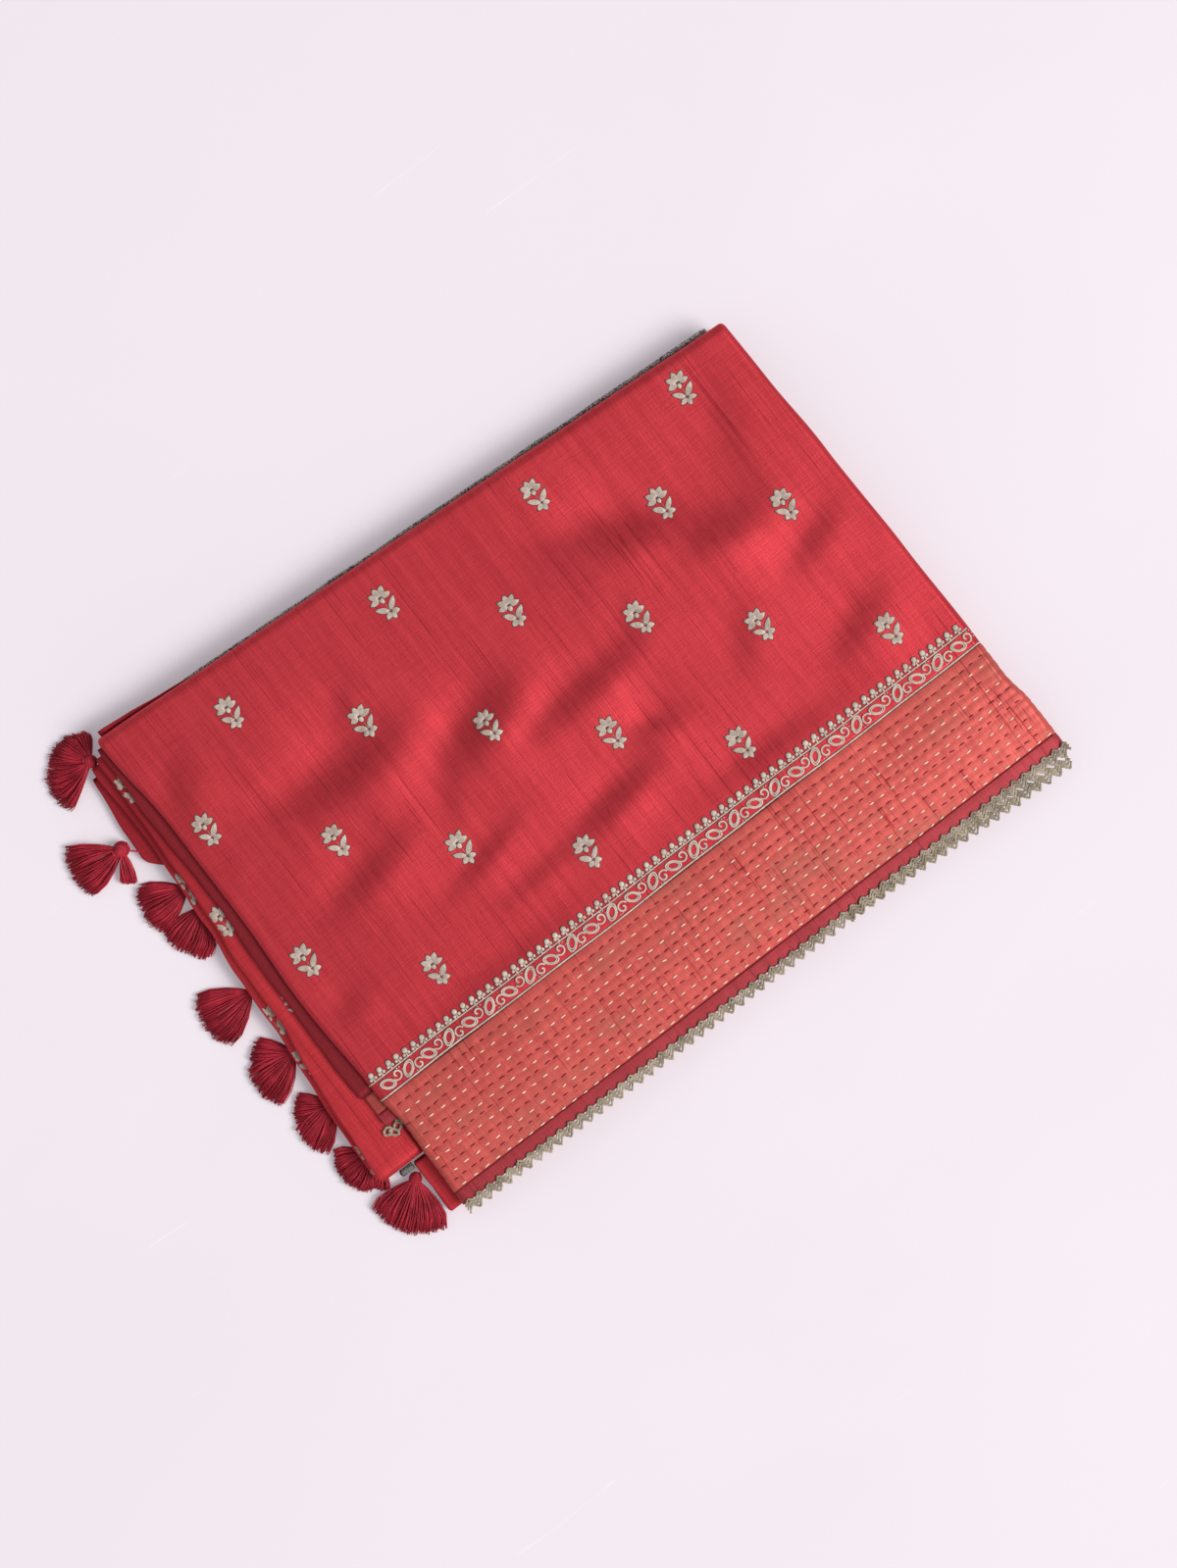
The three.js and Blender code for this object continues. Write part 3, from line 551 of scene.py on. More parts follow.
def kantha_relief(x, y):
    rows = np.array(sorted(CREAM_ROWS + MAROON_ROWS + [KANTHA_TOP_Y, HEM_TOP_Y]))
    y = y - 0.5 * row_wander(x, 1.0)
    i = np.clip(np.searchsorted(rows, y) - 1, 0, len(rows) - 2)
    t = np.clip((y - rows[i]) / (rows[i + 1] - rows[i]), 0, 1)
    puff = np.sin(math.pi * t) ** 0.7
    gather = 0.85 + 0.15 * np.sin(x / 1.07 + 1.9 * i + 1.5 * np.sin(x / 23)) * np.sin(x / 9 + i)
    crumple = 0.05 * np.sin(x / 1.9 + 3 * np.sin(y / 5.3 + x / 37)) * np.sin(y / 3.1 + x / 11)
    crumple = crumple + 0.16 * np.sin(x / 13 + 2 * np.sin(y / 19)) * np.sin(y / 8.3 + x / 29)
    return KANTHA_PUFF * puff * gather + crumple


def build_kantha():
    y = np.linspace(HEM_TOP_Y + SEAM, KANTHA_TOP_Y, KANTHA_GRID_ROWS)
    grid = straight_rows(*columns(KANTHA_COLUMNS), y)
    return relief_shell(*grid, kantha_relief).piece("kantha_cloth", CORAL, "coral_silk", "kantha_strip")


def hem_relief(x, y):
    return ripple(x, y) + 0.25 * np.sin(math.pi * (y - HEM_Y) / (HEM_TOP_Y - HEM_Y))


def build_hem():
    grid = straight_rows(*columns(HEM_COLUMNS), np.linspace(HEM_Y, HEM_TOP_Y, HEM_GRID_ROWS))
    return relief_shell(*grid, hem_relief).piece("hem_cloth", HEM, "hem_silk", "hem_strip")


def stitch_row(form, row, pitch, length, radius, lift):
    """One row of running stitch from fold to fold; each stitch dips into the cloth at its ends."""
    start, end = left_at(row) + 2, right_at(row) - 1.5
    count = int((end - start) / pitch)
    x = start + pitch * (np.arange(count) + rng.uniform(0.1, 0.9)) + rng.normal(0, 0.35, count)
    long = length * rng.uniform(0.8, 1.15, count)
    t = np.linspace(-0.5, 0.5, 5)
    px = x[:, None] + long[:, None] * t
    shift, slant = rng.normal(0, 0.12, count)[:, None], rng.normal(0, 0.1, count)[:, None]
    py = row + row_wander(px, row) + shift + slant * t * 2
    rise = np.array([-0.22, 0.05, 0.16, 0.05, -0.22]) + lift
    pz = sheet_z(px, py) + kantha_relief(px, py) + rise
    tubes(form, np.stack([px, py, pz], -1), radius * np.array([0.7, 1, 1.05, 1, 0.7]), sides=5)


def build_stitches():
    cream, maroon = Form(), Form()
    for row in CREAM_ROWS:
        stitch_row(cream, row, CREAM_PITCH, CREAM_STITCH, radius=0.4, lift=0.2)
    for row in MAROON_ROWS:
        stitch_row(maroon, row, MAROON_PITCH, MAROON_STITCH, radius=0.32, lift=0.16)
    return [cream.piece("cream_stitches", CREAM, "thread"), maroon.piece("maroon_stitches", MAROON, "thread")]


# ---- Embroidery ----
THREAD = 0.24  # radius of an embroidery thread
PETAL_STEPS = 5
PETAL_THREADS = 6
PETAL_RISE = 0.35
PETAL_BLUNT = 0.75
OUTLINE_STEPS = 12
# The dark outline is painted shade at the petal's edge.
OUTLINE_OUT = 0.3  # how far the outline runs outside the petal


def circle(count):
    return 2 * math.pi * np.arange(count) / count


def on_circle(x, y, radius, angle):
    return np.stack([x + radius * np.cos(angle), y + radius * np.sin(angle)], -1)


def left_of(way):
    return np.stack([-way[..., 1], way[..., 0]], -1)


def rotation(angle):
    return np.array([[math.cos(angle), -math.sin(angle)], [math.sin(angle), math.cos(angle)]])


def on_surface(surface, xy, lift):
    z = surface(xy[..., 0], xy[..., 1]) + lift
    return np.concatenate([xy, z[..., None]], -1)


def petal_width(t):
    """Share of a petal's width at a share of its length; it is blunter at the tip."""
    return np.sin(math.pi * t**PETAL_BLUNT) ** 0.8


def petal_threads(roots, tips, widths, surface):
    """Threads laid side by side from the root to the tip of each petal, over a low dome."""
    t = np.linspace(0.02, 0.98, PETAL_STEPS)
    u = np.linspace(-1, 1, PETAL_THREADS)
    along = tips - roots
    across = unit(left_of(along))
    centre = roots[:, None] + along[:, None] * t[None, :, None]
    offset = widths[:, None, None] / 2 * u[None, :, None] * petal_width(t)[None, None, :]
    xy = centre[:, None] + offset[..., None] * across[:, None, None]
    dome = np.sqrt(np.maximum(0, 1 - 0.8 * u**2))[:, None] * np.sin(math.pi * t) ** 0.5
    return on_surface(surface, xy, 0.1 + PETAL_RISE * dome).reshape(-1, PETAL_STEPS, 3)


def outline_paths(roots, tips, widths, surface):
    """A closed dark line round each petal: painted shade at the edge of its raised stitching."""
    axis = unit(tips - roots)
    across = left_of(axis)
    angle = circle(OUTLINE_STEPS)
    t = 0.5 - 0.5 * np.cos(angle)
    side = np.sign(np.sin(angle)) * petal_width(t)
    length = np.linalg.norm(tips - roots, axis=-1)
    lengthwise = (t[None, :] * (length[:, None] + 2 * OUTLINE_OUT) - OUTLINE_OUT)[..., None] * axis[:, None]
    sideways = (side[None, :] * (widths[:, None] / 2 + OUTLINE_OUT))[..., None] * across[:, None]
    return on_surface(surface, roots[:, None] + lengthwise + sideways, 0.12)


# One flower: each petal's or leaf's root and tip, from the flower's middle, and its width. What lies off the
# middle line comes in pairs.
BUTI = [
    (side * root_x, root_y, side * tip_x, tip_y, wide)
    for root_x, root_y, tip_x, tip_y, wide in (
        (0, 3.6, 0, 8.9, 2.7), (0.7, 3.5, 4.5, 7.3, 2.7), (0.8, 3.0, 5.9, 2.9, 2.6), (0, 2.9, 0, 0.1, 1.9),
        (0.4, -4.3, 5.7, 0.3, 2.5), (0.3, -5.2, 3.9, -6.6, 2.4), (0, -5.4, 0, -9.2, 2.3),
    )
    for side in ((-1, 1) if root_x else (1,))
]
BUTI_STEM = [(0, 0.2), (0.15, -1.8), (0, -4.6)]
BUTI_TURN, BUTI_UNEVEN = 3, 0.2  # spread of a flower's turn, in degrees, and of its petals' tips

# Middles of the flowers on the top sheet.
BUTI_PLACES = [
    (-118, 134.5), (-25.5, 131), (65.5, 128), (154, 126),
    (-162, 96), (-69, 91.5), (22, 90), (112, 87.5),
    (-115, 53), (-21.5, 52.5), (69, 49.5), (159.5, 50),
    (-162.5, 15.5), (-68.5, 13), (24, 13), (114, 10.5),
    (-114.5, -26.5), (-20.5, -26), (71.5, -29.5), (163, -29.5),
]


def body_surface(x, y):
    return sheet_z(x, y) + ripple(x, y)


def tuck(paths, surface, limits, least=0.45):
    """Drops threads that lie on their stretch of cloth for less than a share, and squeezes the others in."""
    low, high = limits(paths[..., 1])
    x = paths[..., 0]
    paths = paths[((x > low) & (x < high)).mean(axis=1) > least]
    low, high = limits(paths[..., 1])
    x = np.clip(paths[..., 0], low, high)
    z = paths[..., 2] + surface(x, paths[..., 1]) - surface(paths[..., 0], paths[..., 1])
    return np.stack([x, paths[..., 1], z], -1)


def place_buti(forms, x, y, surface, limits=None):
    """One flower, a little uneven, with outlines and stem; limits are its stretch of cloth in x at each y."""
    turn = math.radians(rng.normal(0, BUTI_TURN))
    spin = (rng.uniform(0.96, 1.04) * rotation(turn)).T
    roots, tips, widths = np.split(np.array(BUTI, float), [2, 4], axis=1)
    roots = roots @ spin + [x, y]
    tips = (tips + rng.normal(0, BUTI_UNEVEN, tips.shape)) @ spin + [x, y]
    widths = widths[:, 0] * rng.uniform(0.9, 1.1, len(BUTI))
    stem = on_surface(surface, np.array(BUTI_STEM) @ spin + [x, y], 0.2)[None]
    threads = petal_threads(roots, tips, widths, surface)
    outlines = outline_paths(roots, tips, widths, surface)
    if limits is not None:
        threads, stem = tuck(threads, surface, limits), tuck(stem, surface, limits)
        outlines = tuck(outlines, surface, limits, least=0.9)
    if len(threads):
        tubes(forms["beige"], threads, THREAD * np.array([0.7, 1.1, 1.2, 1.1, 0.6]), flat=0.8)
    if len(outlines):
        tubes(forms["brown"], outlines, 0.2, sides=3, closed=True)
    if len(stem):
        tubes(forms["pink"], stem, 0.22)


VINE_REPEAT = 25.1
VINE_START = -172.2  # first repeat's left end
VINE_REPEATS = 15
LOW_CORD_Y, HIGH_CORD_Y = -61.4, -52.2
CORD_STEP, CORD_WANDER = 1.5, 0.3
BUD_PITCH = 5.15
BUD_FIRST = -174.7
BUD_OUTLINE_OUT = 0.22
# What one repeat of the vine holds: almond rings (length, width, tilt) and curls, each with an arc of knots.
RINGS = [
    dict(x=4.9, y=-56.9, long=8.2, wide=4.9, tilt=-32),
    dict(x=17.6, y=-56.7, long=8.8, wide=5.0, tilt=50),
]
CURLS = [
    dict(x=11.0, y=-55.6, turn=200),
    dict(x=23.7, y=-58.0, turn=20),
]
BAND_MIDDLE_Y = -57
BAND_END = 3
CURL_RADIUS = 2.8
KNOT_ARC = 3.9  # from a curl's middle to its arc of knots


def on_body(xy, lift):
    return on_surface(body_surface, xy, lift)


def in_band(x):
    """Whether a ring or curl at x is clear of the cloth's left and right folds."""
    return left_at(BAND_MIDDLE_Y) + BAND_END < x < right_at(BAND_MIDDLE_Y) - BAND_END


def build_vine(forms):
    beige = forms["band"]
    for y, radius in ((HIGH_CORD_Y, 0.38), (LOW_CORD_Y, 0.48)):
        x = np.arange(left_at(y) + 0.2, right_at(y) - 0.2, CORD_STEP)
        py = y + CORD_WANDER * (np.sin(x / 29) + 0.5 * np.sin(x / 11 + 1))
        twist = radius * (1 + 0.12 * np.sin(x / 0.5))
        tubes(beige, on_body(np.stack([x, py], -1), 0.25)[None], twist, sides=6)
        # A thin dark line of painted shade beside each cord.
        tubes(forms["brown"], on_body(np.stack([x, py - 0.62], -1), 0.08)[None], 0.2, sides=3)
    for repeat in range(VINE_REPEATS):
        start = VINE_START + repeat * VINE_REPEAT
        for ring in RINGS:
            x = start + ring["x"] + rng.normal(0, 0.2)
            if in_band(x):
                build_ring(beige, x, ring)
        for curl in CURLS:
            x = start + curl["x"] + rng.normal(0, 0.2)
            if in_band(x):
                build_curl(beige, x, curl["y"], math.radians(curl["turn"]))


def build_ring(form, x, ring):
    """An almond ring with a smaller one inside it."""
    angle = circle(16)
    tilt = math.radians(ring["tilt"] + rng.normal(0, 3))
    for share, radius in ((0.95, 0.5), (0.7, 0.36)):
        almond = np.stack([
            ring["long"] / 2 * share * np.cos(angle),
            ring["wide"] / 2 * share * np.sign(np.sin(angle)) * np.abs(np.sin(angle)) ** 1.2,
        ], -1)
        path = on_body(almond @ rotation(tilt).T + [x, ring["y"]], 0.3)
        tubes(form, path[None], radius, sides=5, closed=True)


def build_curl(form, x, y, turn):
    """A spiral that ends in a dot, with an arc of knots over it."""
    t = np.linspace(0, 1, 22)
    angle = turn + 2.2 * math.pi * t
    radius = lerp(CURL_RADIUS, 0.3, t**1.7)
    tubes(form, on_body(on_circle(x, y, radius, angle), 0.3)[None], lerp(0.46, 0.62, t), sides=5)
    knots = turn + math.pi + np.linspace(-0.75, 0.75, 4)
    centres = on_circle(x, y, KNOT_ARC, knots)
    centres[:, 1] = np.clip(centres[:, 1], LOW_CORD_Y + 1.1, HIGH_CORD_Y - 1.0)
    ahead = left_of(on_circle(0, 0, 0.35, knots))
    knot_paths = centres[:, None] + ahead[:, None] * np.linspace(-1, 1, 3)[None, :, None]
    tubes(form, on_body(knot_paths, 0.28), [0.2, 0.38, 0.2], sides=5)


def build_buds(forms):
    """A row of small knobs that stand on the upper cord: a ball of thread with a smaller one at each side."""
    x = np.arange(BUD_FIRST + 3.2, right_at(BAND_TOP_Y) - 2.5, BUD_PITCH)
    x = x + rng.normal(0, 0.12, len(x))
    base = HIGH_CORD_Y + 0.4
    u = np.linspace(-0.96, 0.96, 6)
    for dx, dy, radius in ((0, 3.2, 1.5), (-1.3, 1.35, 0.9), (1.3, 1.35, 0.9)):
        middle = x[:, None] + dx + rng.normal(0, 0.08, (len(x), 1)) + 0 * u
        ball = np.stack([middle, base + dy + rng.normal(0, 0.1, (len(x), 1)) + radius * u], -1)
        sizes = radius * np.sqrt(1 - u**2) * rng.uniform(0.92, 1.08, (len(x), 1))
        tubes(forms["band"], on_body(ball, 0.25), sizes, sides=8, flat=0.6)
        # A dark ring of painted shade round each knob.
        ring = on_circle(0, base + dy, radius + BUD_OUTLINE_OUT, circle(10))
        ring = ring + np.stack([middle[:, 0], 0 * x], -1)[:, None]
        tubes(forms["brown"], on_body(ring, 0.1), 0.13, sides=3, closed=True)
    neck = np.stack([np.stack([x, np.full(len(x), base + y)], -1) for y in (-0.4, 0.8, 2.0)], 1)
    tubes(forms["band"], on_body(neck, 0.3), 0.42, sides=5)


# ---- Lace ----
TOOTH = 6.25
LACE = dict(start=-174.6, end=199.2, root=-125.6)
LOWER_LACE = dict(start=62, end=195.6, drop=4.4, root_start=-126, root_end=-131.6)
LACE_ROWS = [
    dict(high=0.1, low=2.9, radius=0.62, lift=0.75),
    dict(high=1.6, low=4.8, radius=0.72, lift=0.6),
    dict(high=3.2, low=6.9, radius=0.66, lift=0.45),
]
STITCH = 1.15  # length of a crochet stitch along a row
LACE_STEP = 0.42


def lace_row(form, start, end, y_at, z_at, row):
    """One zigzag row: knobbly yarn that rises and falls once a tooth."""
    x = np.arange(start, end, LACE_STEP)
    phase = (x - start) / TOOTH
    saw = np.abs(2 * (phase - np.floor(phase)) - 1)
    down = lerp(row["high"], row["low"], saw)
    y = y_at(x) - down + 0.1 * np.sin(x * 5.1)
    knob = row["radius"] * (1 + 0.28 * np.sin(2 * math.pi * x / STITCH + 3 * down))
    z = z_at(x, y) + row["lift"] + 0.12 * np.sin(2 * math.pi * x / STITCH)
    tubes(form, np.stack([x, y, z], -1)[None], knob, sides=6)


def hem_level(x, y):
    over = np.clip(x, left_at(HEM_Y) + ROLL_LEFT, right_at(HEM_Y) - ROLL_RIGHT)
    return top_height(over, y)


def build_lace():
    """The lace on the hem, and that of the next layer, which runs out from under it."""
    def lower_root(x):
        share = (x - LOWER_LACE["start"]) / (LOWER_LACE["end"] - LOWER_LACE["start"])
        return lerp(LOWER_LACE["root_start"], LOWER_LACE["root_end"], ease(share))

    upper, lower = Form(), Form()
    for row in LACE_ROWS:
        lace_row(upper, LACE["start"], LACE["end"], lambda x: LACE["root"] + 0 * x, hem_level, row)
        lace_row(lower, LOWER_LACE["start"], LOWER_LACE["end"], lower_root,
                 lambda x, y: top_height(x, HEM_Y) - LOWER_LACE["drop"], row)
    return [upper.piece("upper_crochet", CROCHET, "crochet", "upper_lace"),
            lower.piece("lower_crochet", CROCHET, "crochet", "lower_lace")]


# ---- Folds on the left side ----
FOLD_INNER = -172
FOLD_Y = [150, 120, 105, 90, 60, 30, 0, -30, -60, -88]
FOLDS = [
    dict(name="fold_1", low=0, high=4.7, back=151, front=-91, layers=3,
         edge=[-193.6, -197, -197.8, -187, -185, -191.4, -193, -194, -195, -195.4]),
    dict(name="fold_2", low=5.05, high=9.6, back=155, front=-92, layers=3,
         edge=[-190.4, -189.8, -190, -190.6, -192.6, -195.4, -196.4, -199, -201, -202.4]),
    dict(name="fold_3", low=9.95, high=15.1, back=157, front=-94, layers=2,
         edge=[-185.6, -185.8, -186.2, -187, -188.6, -191, -192, -195.4, -198.4, -200.4]),
    dict(name="fold_4", low=15.45, high=18.2, back=160, front=-55, layers=2,
         edge=[-181.6, -182.2, -181.6, -181, -181, -182.8, -183.4, -183.6, -183.2, -182.8]),
]
FOLD_ARC = 10  # chords round a fold's outer edge
FOLD_WALL = 0.45
FOLD_STEP = 3.2  # how far apart the stations along a fold are
END_ROUND = 3.0  # how far a fold's end takes to round off
LAYER_GAP = 0.03  # kept free at either face of a doubled layer


def edge_at(fold, y):
    return eased(y, FOLD_Y, fold["edge"])


def hairpin(form, inner, outer, low, high, along, full, flats=5, wall=FOLD_WALL, behind=False):
    """Doubled cloth: from the inner side out, round the fold and back. Arrays run along the fold.

    It has some flat stations at either face. One behind the back fold runs along x, the others along y.
    """
    inner = np.broadcast_to(inner, outer.shape)
    radius = np.minimum((high - low) / 2, np.abs(outer - inner) / 2)
    inward = np.sign(inner - outer) * radius
    angle = np.linspace(-math.pi / 2, math.pi / 2, FOLD_ARC + 1)
    arc = (outer + inward * (1 - full))[:, None] + inward[:, None] * (1 - np.cos(angle))
    z_arc = (low + high) / 2 + ((high - low) / 2 * full)[:, None] * np.sin(angle)
    flat = lerp(inner[:, None], arc[:, :1], np.linspace(0, 1, flats + 1)[None, :-1])
    across = np.concatenate([flat, arc, flat[:, ::-1]], 1)
    z = np.concatenate([np.repeat(z_arc[:, :1], flats, 1), z_arc, np.repeat(z_arc[:, -1:], flats, 1)], 1)
    along = np.broadcast_to(along[:, None], z.shape)
    points = np.stack([along, across, z] if behind else [across, along, z], -1)
    shell(form, points, grid_normals(points), wall)


def layers_of(fold, along, full, outer_at, inner=FOLD_INNER, **kind):
    """Doubled layers on each other; outer_at gives the outer edge of each along the fold."""
    form = Form()
    thick = (fold["high"] - fold["low"]) / fold["layers"]
    for k in range(fold["layers"]):
        low = fold["low"] + k * thick + LAYER_GAP
        hairpin(form, inner, outer_at(k), low, low + thick - 2 * LAYER_GAP, along, full, **kind)
    return form


def fullness(at, start, end, over, least):
    """How full a fold is along it: it rounds off over some length at its ends."""
    return np.sqrt(np.clip(np.minimum(at - start, end - at) / over, least, 1))


def build_fold(node, fold, front, back, material, slot, round_front=True, round_back=True, inset=0.0):
    y = np.linspace(front, back, max(8, int((back - front) / FOLD_STEP)))
    start, end = front if round_front else -math.inf, back if round_back else math.inf
    full = fullness(y, start, end, END_ROUND, 0.12)

    def outer_at(k):
        recess = 0.35 * (fold["layers"] - 1 - k) * (1.2 + np.sin(y / 33 + 2 * k + fold["low"]))
        wave = 0.22 * np.sin(y / 11 + 1.7 * k) + 0.12 * np.sin(y / 4.3 + k)
        return edge_at(fold, y) + recess + wave + inset

    return layers_of(fold, y, full, outer_at).piece(node + "_cloth", material, slot, node)


RING_CHORDS, RING_SIDES = 16, 5


def ring_stack(form, centre, axis, offsets, radii, thread):
    """Turns of thread wound round a level axis, at offsets along it."""
    u = unit(np.cross(axis, [0.0, 0.0, 1.0]))
    v = np.cross(u, axis)
    phi = circle(RING_CHORDS)[None, :, None, None]
    theta = circle(RING_SIDES)[None, None, :, None]
    out = np.cos(phi) * u + np.sin(phi) * v
    offsets, radii = offsets[:, None, None, None], radii[:, None, None, None]
    points = centre + offsets * axis + out * (radii + thread * np.cos(theta)) + thread * np.sin(theta) * axis
    p = np.arange(len(offsets) * RING_CHORDS * RING_SIDES).reshape(-1, RING_CHORDS, RING_SIDES)
    form.add(points, [wound_faces(p, True)])


# ---- Second border end, low flap and printed folds ----
SECOND_KANTHA_Y = -66
SECOND_HEM_Y = -73
LOW_FLAP = dict(low=0, high=8, outer=-183, back=-95.6, front=-126.3, layers=4)
PRINT_CORNER = dict(low=4, high=8.4, outer=-191.6, inner=-183.4, back=-94.8, front=-98.4, layers=2)
SHORT_STEP = 1.2  # how far apart the stations along a short fold are
SHORT_ROUND = 1.2  # how far its ends take to round off
BACK_FOLD_INNER = 0.45  # how far behind the back fold's line the folds there begin
BACK_WALL = 0.35
BACK_STEP = 2.2
BACK_ROUND = 2.4
# proud_start and proud_end are how far a fold stands out behind that line.
BACK_FOLDS = [
    dict(name="print_fold", material=PRINT_PAINTED_LIGHT, slot="print", layers=2, low=9.2, high=12.2, start=-130, end=182,
         proud_start=2.4, proud_end=3.4),
    dict(name="back_fold", material=RED_FOLD_PAINTED_LIGHT, slot="red_silk", layers=3, low=12.9, high=16.4, start=-176,
         end=-126, proud_start=4.4, proud_end=1.4),
]


def short_fold(node, fold, material, slot):
    y = np.linspace(fold["front"], fold["back"], max(9, int((fold["back"] - fold["front"]) / SHORT_STEP)))
    full = fullness(y, fold["front"], fold["back"], SHORT_ROUND, 0.15)

    def outer_at(k):
        wave = 0.25 * np.sin(y / 5 + 2.1 * k) + 0.3 * (k % 2)
        return fold["outer"] + wave + 0.3

    form = layers_of(fold, y, full, outer_at, fold.get("inner", FOLD_INNER))
    return form.piece(node + "_cloth", material, slot, node)


def build_back_fold(fold):
    """A doubled edge that stands out behind the back fold, uneven along its length."""
    start, end = fold["start"], fold["end"]
    x = np.linspace(start, end, int((end - start) / BACK_STEP))

    def outer_at(k):
        proud = lerp(fold["proud_start"], fold["proud_end"], (x - start) / (end - start))
        return back_at(x) + (proud - 0.35 - 0.3 * np.abs(np.sin(x / 19 + 2 * k)) + 0.15 * np.sin(x / 6.3 + k))

    full, inner = fullness(x, start, end, BACK_ROUND, 0.2), back_at(x) + BACK_FOLD_INNER
    form = layers_of(fold, x, full, outer_at, inner, flats=1, wall=BACK_WALL, behind=True)
    return form.piece(fold["name"] + "_cloth", fold["material"], fold["slot"], fold["name"])


# The twisted loops of the next layer's lace: middle, half length and width, and turn from x in degrees.
SECOND_LACE_LOOPS = [
    (-182.2, -75.4, 2.2, 1.7, 20), (-179.8, -77.6, 2.3, 1.5, -50),
    (-176.4, -76.0, 2.6, 1.7, 35), (-173.6, -74.6, 2.2, 1.5, -20),
]
SECOND_LACE_LEVEL = 15.5


def build_second_lace():
    form = Form()
    angle = circle(22)
    for n, (x, y, long, wide, tilt) in enumerate(SECOND_LACE_LOOPS):
        oval = np.stack([long * np.cos(angle), wide * np.sin(angle)], -1) @ rotation(math.radians(tilt)).T
        level = SECOND_LACE_LEVEL + 0.55 + 0.25 * (n % 2) + 0.2 * np.sin(3 * angle)
        path = np.concatenate([oval + [x, y], level[:, None]], -1)
        tubes(form, path[None], 0.75 * (1 + 0.25 * np.cos(6 * angle + n)), sides=6, closed=True)
    return form.piece("second_crochet", CROCHET, "crochet", "second_lace")


# ---- Inner layers: the edges of the folded cloth between the top sheet and the table ----
LEFT_WALL = -171.4
LAYER_COUNT = 15
LAYER_OUT = 1.15  # how far a layer's rounded edge stands out of the grooves beside it
LAYER_UNEVEN, LAYER_SWAY = 0.014, 0.012  # shares of the stack's height
RIM_STEP = 2.2
UNDER_FRONT, UNDER_SHEET = 1.8, 5.3  # how far the highest layer's edge lies below the sheet's face


def perimeter():
    """Points round the stack, anticlockwise, with the way out at each."""
    inset = CLOTH + SEAT
    front_x = np.arange(left_at(HEM_Y) + 4, right_at(HEM_Y) - inset - 2, RIM_STEP)
    right_y = np.arange(CORE_FRONT_Y + 2, back_at(185) - 4.4, RIM_STEP)
    back_x = np.arange(right_at(140) - inset - 3, LEFT_WALL + 1, -RIM_STEP)
    left_y = np.arange(back_at(LEFT_WALL) - 4, CORE_FRONT_Y + 2, -RIM_STEP)
    parts = [
        np.stack([front_x, np.full(len(front_x), CORE_FRONT_Y)], -1),
        np.stack([right_at(right_y) - inset, right_y], -1),
        np.stack([back_x, back_at(back_x) - inset], -1),
        np.stack([np.full(len(left_y), LEFT_WALL), left_y], -1),
    ]
    out = np.repeat([[0, -1], [1, 0], [0, 1], [0, 0]], [len(p) for p in parts], axis=0).astype(float)
    return np.concatenate(parts), out


def build_inner_layers():
    rim, out = perimeter()
    n = len(rim)
    blend = np.array([np.roll(out, k, axis=0) for k in (-1, 0, 1)]).mean(axis=0)
    reach = np.concatenate([[0], np.cumsum(np.linalg.norm(np.diff(rim, axis=0), axis=1))])
    on_front = out[:, 1] < 0
    on_left = (out == 0).all(axis=1)
    under_x = np.clip(rim[:, 0], left_at(rim[:, 1]) + ROLL_LEFT + 1, right_at(rim[:, 1]) - ROLL_RIGHT - 1)
    under_y = np.minimum(rim[:, 1], back_at(rim[:, 0]) - ROLL_BACK)
    roof = top_height(under_x, under_y) - np.where(on_front, UNDER_FRONT, UNDER_SHEET)
    bounds = np.linspace(0, 1, LAYER_COUNT + 1)
    bounds[1:-1] += rng.uniform(-LAYER_UNEVEN, LAYER_UNEVEN, LAYER_COUNT - 1)
    rings = []
    for k in range(LAYER_COUNT):
        stand = 0.45 + 0.55 * np.sin(reach / rng.uniform(28, 60) + rng.uniform(0, 6)) * rng.uniform(0.3, 1)
        stand = np.where(on_left, 0, np.clip(stand + 0.12 * np.sin(reach / 9 + 3 * k), 0.05, 1)) * LAYER_OUT
        sway = LAYER_SWAY * np.sin(reach / rng.uniform(30, 70) + k)
        top = 1 - bounds[k] + sway * (k > 0)
        bottom = 1 - bounds[k + 1] + LAYER_SWAY * np.sin(reach / 41 + k + 1) * (k < LAYER_COUNT - 1)
        for share, bulge in ((0.0, -0.5), (0.14, 0.45), (0.5, 1.0), (0.86, 0.45), (1.0, -0.5)):
            level = lerp(top, bottom, share)
            xy = rim + blend * (stand * np.maximum(bulge, 0) + 0.7 * np.minimum(bulge, 0))[:, None]
            rings.append(np.concatenate([xy, (roof * level)[:, None]], 1))
    rings = np.array(rings)
    rings[-1][:, 2] = 0
    points = rings.reshape(-1, 3)
    p = np.arange(len(rings) * n).reshape(len(rings), n)
    ahead = np.roll(p, -1, axis=1)
    walls = np.stack([p[:-1], p[1:], ahead[1:], ahead[:-1]], -1).reshape(-1, 4)
    middle = len(points)
    lid = np.stack([np.full(n, middle), p[0], np.roll(p[0], -1)], -1)
    base = np.stack([np.full(n, middle + 1), np.roll(p[-1], -1), p[-1]], -1)
    form = Form()
    caps = np.array([[MIDDLE_X, 0, STACK_HEIGHT - 5.5], [MIDDLE_X, 0, 0]])
    form.add(np.concatenate([points, caps]), [walls, lid, base])
    return form.piece("layered_edges", RED_FOLD_PAINTED_LIGHT, "red_silk", "inner_layers")


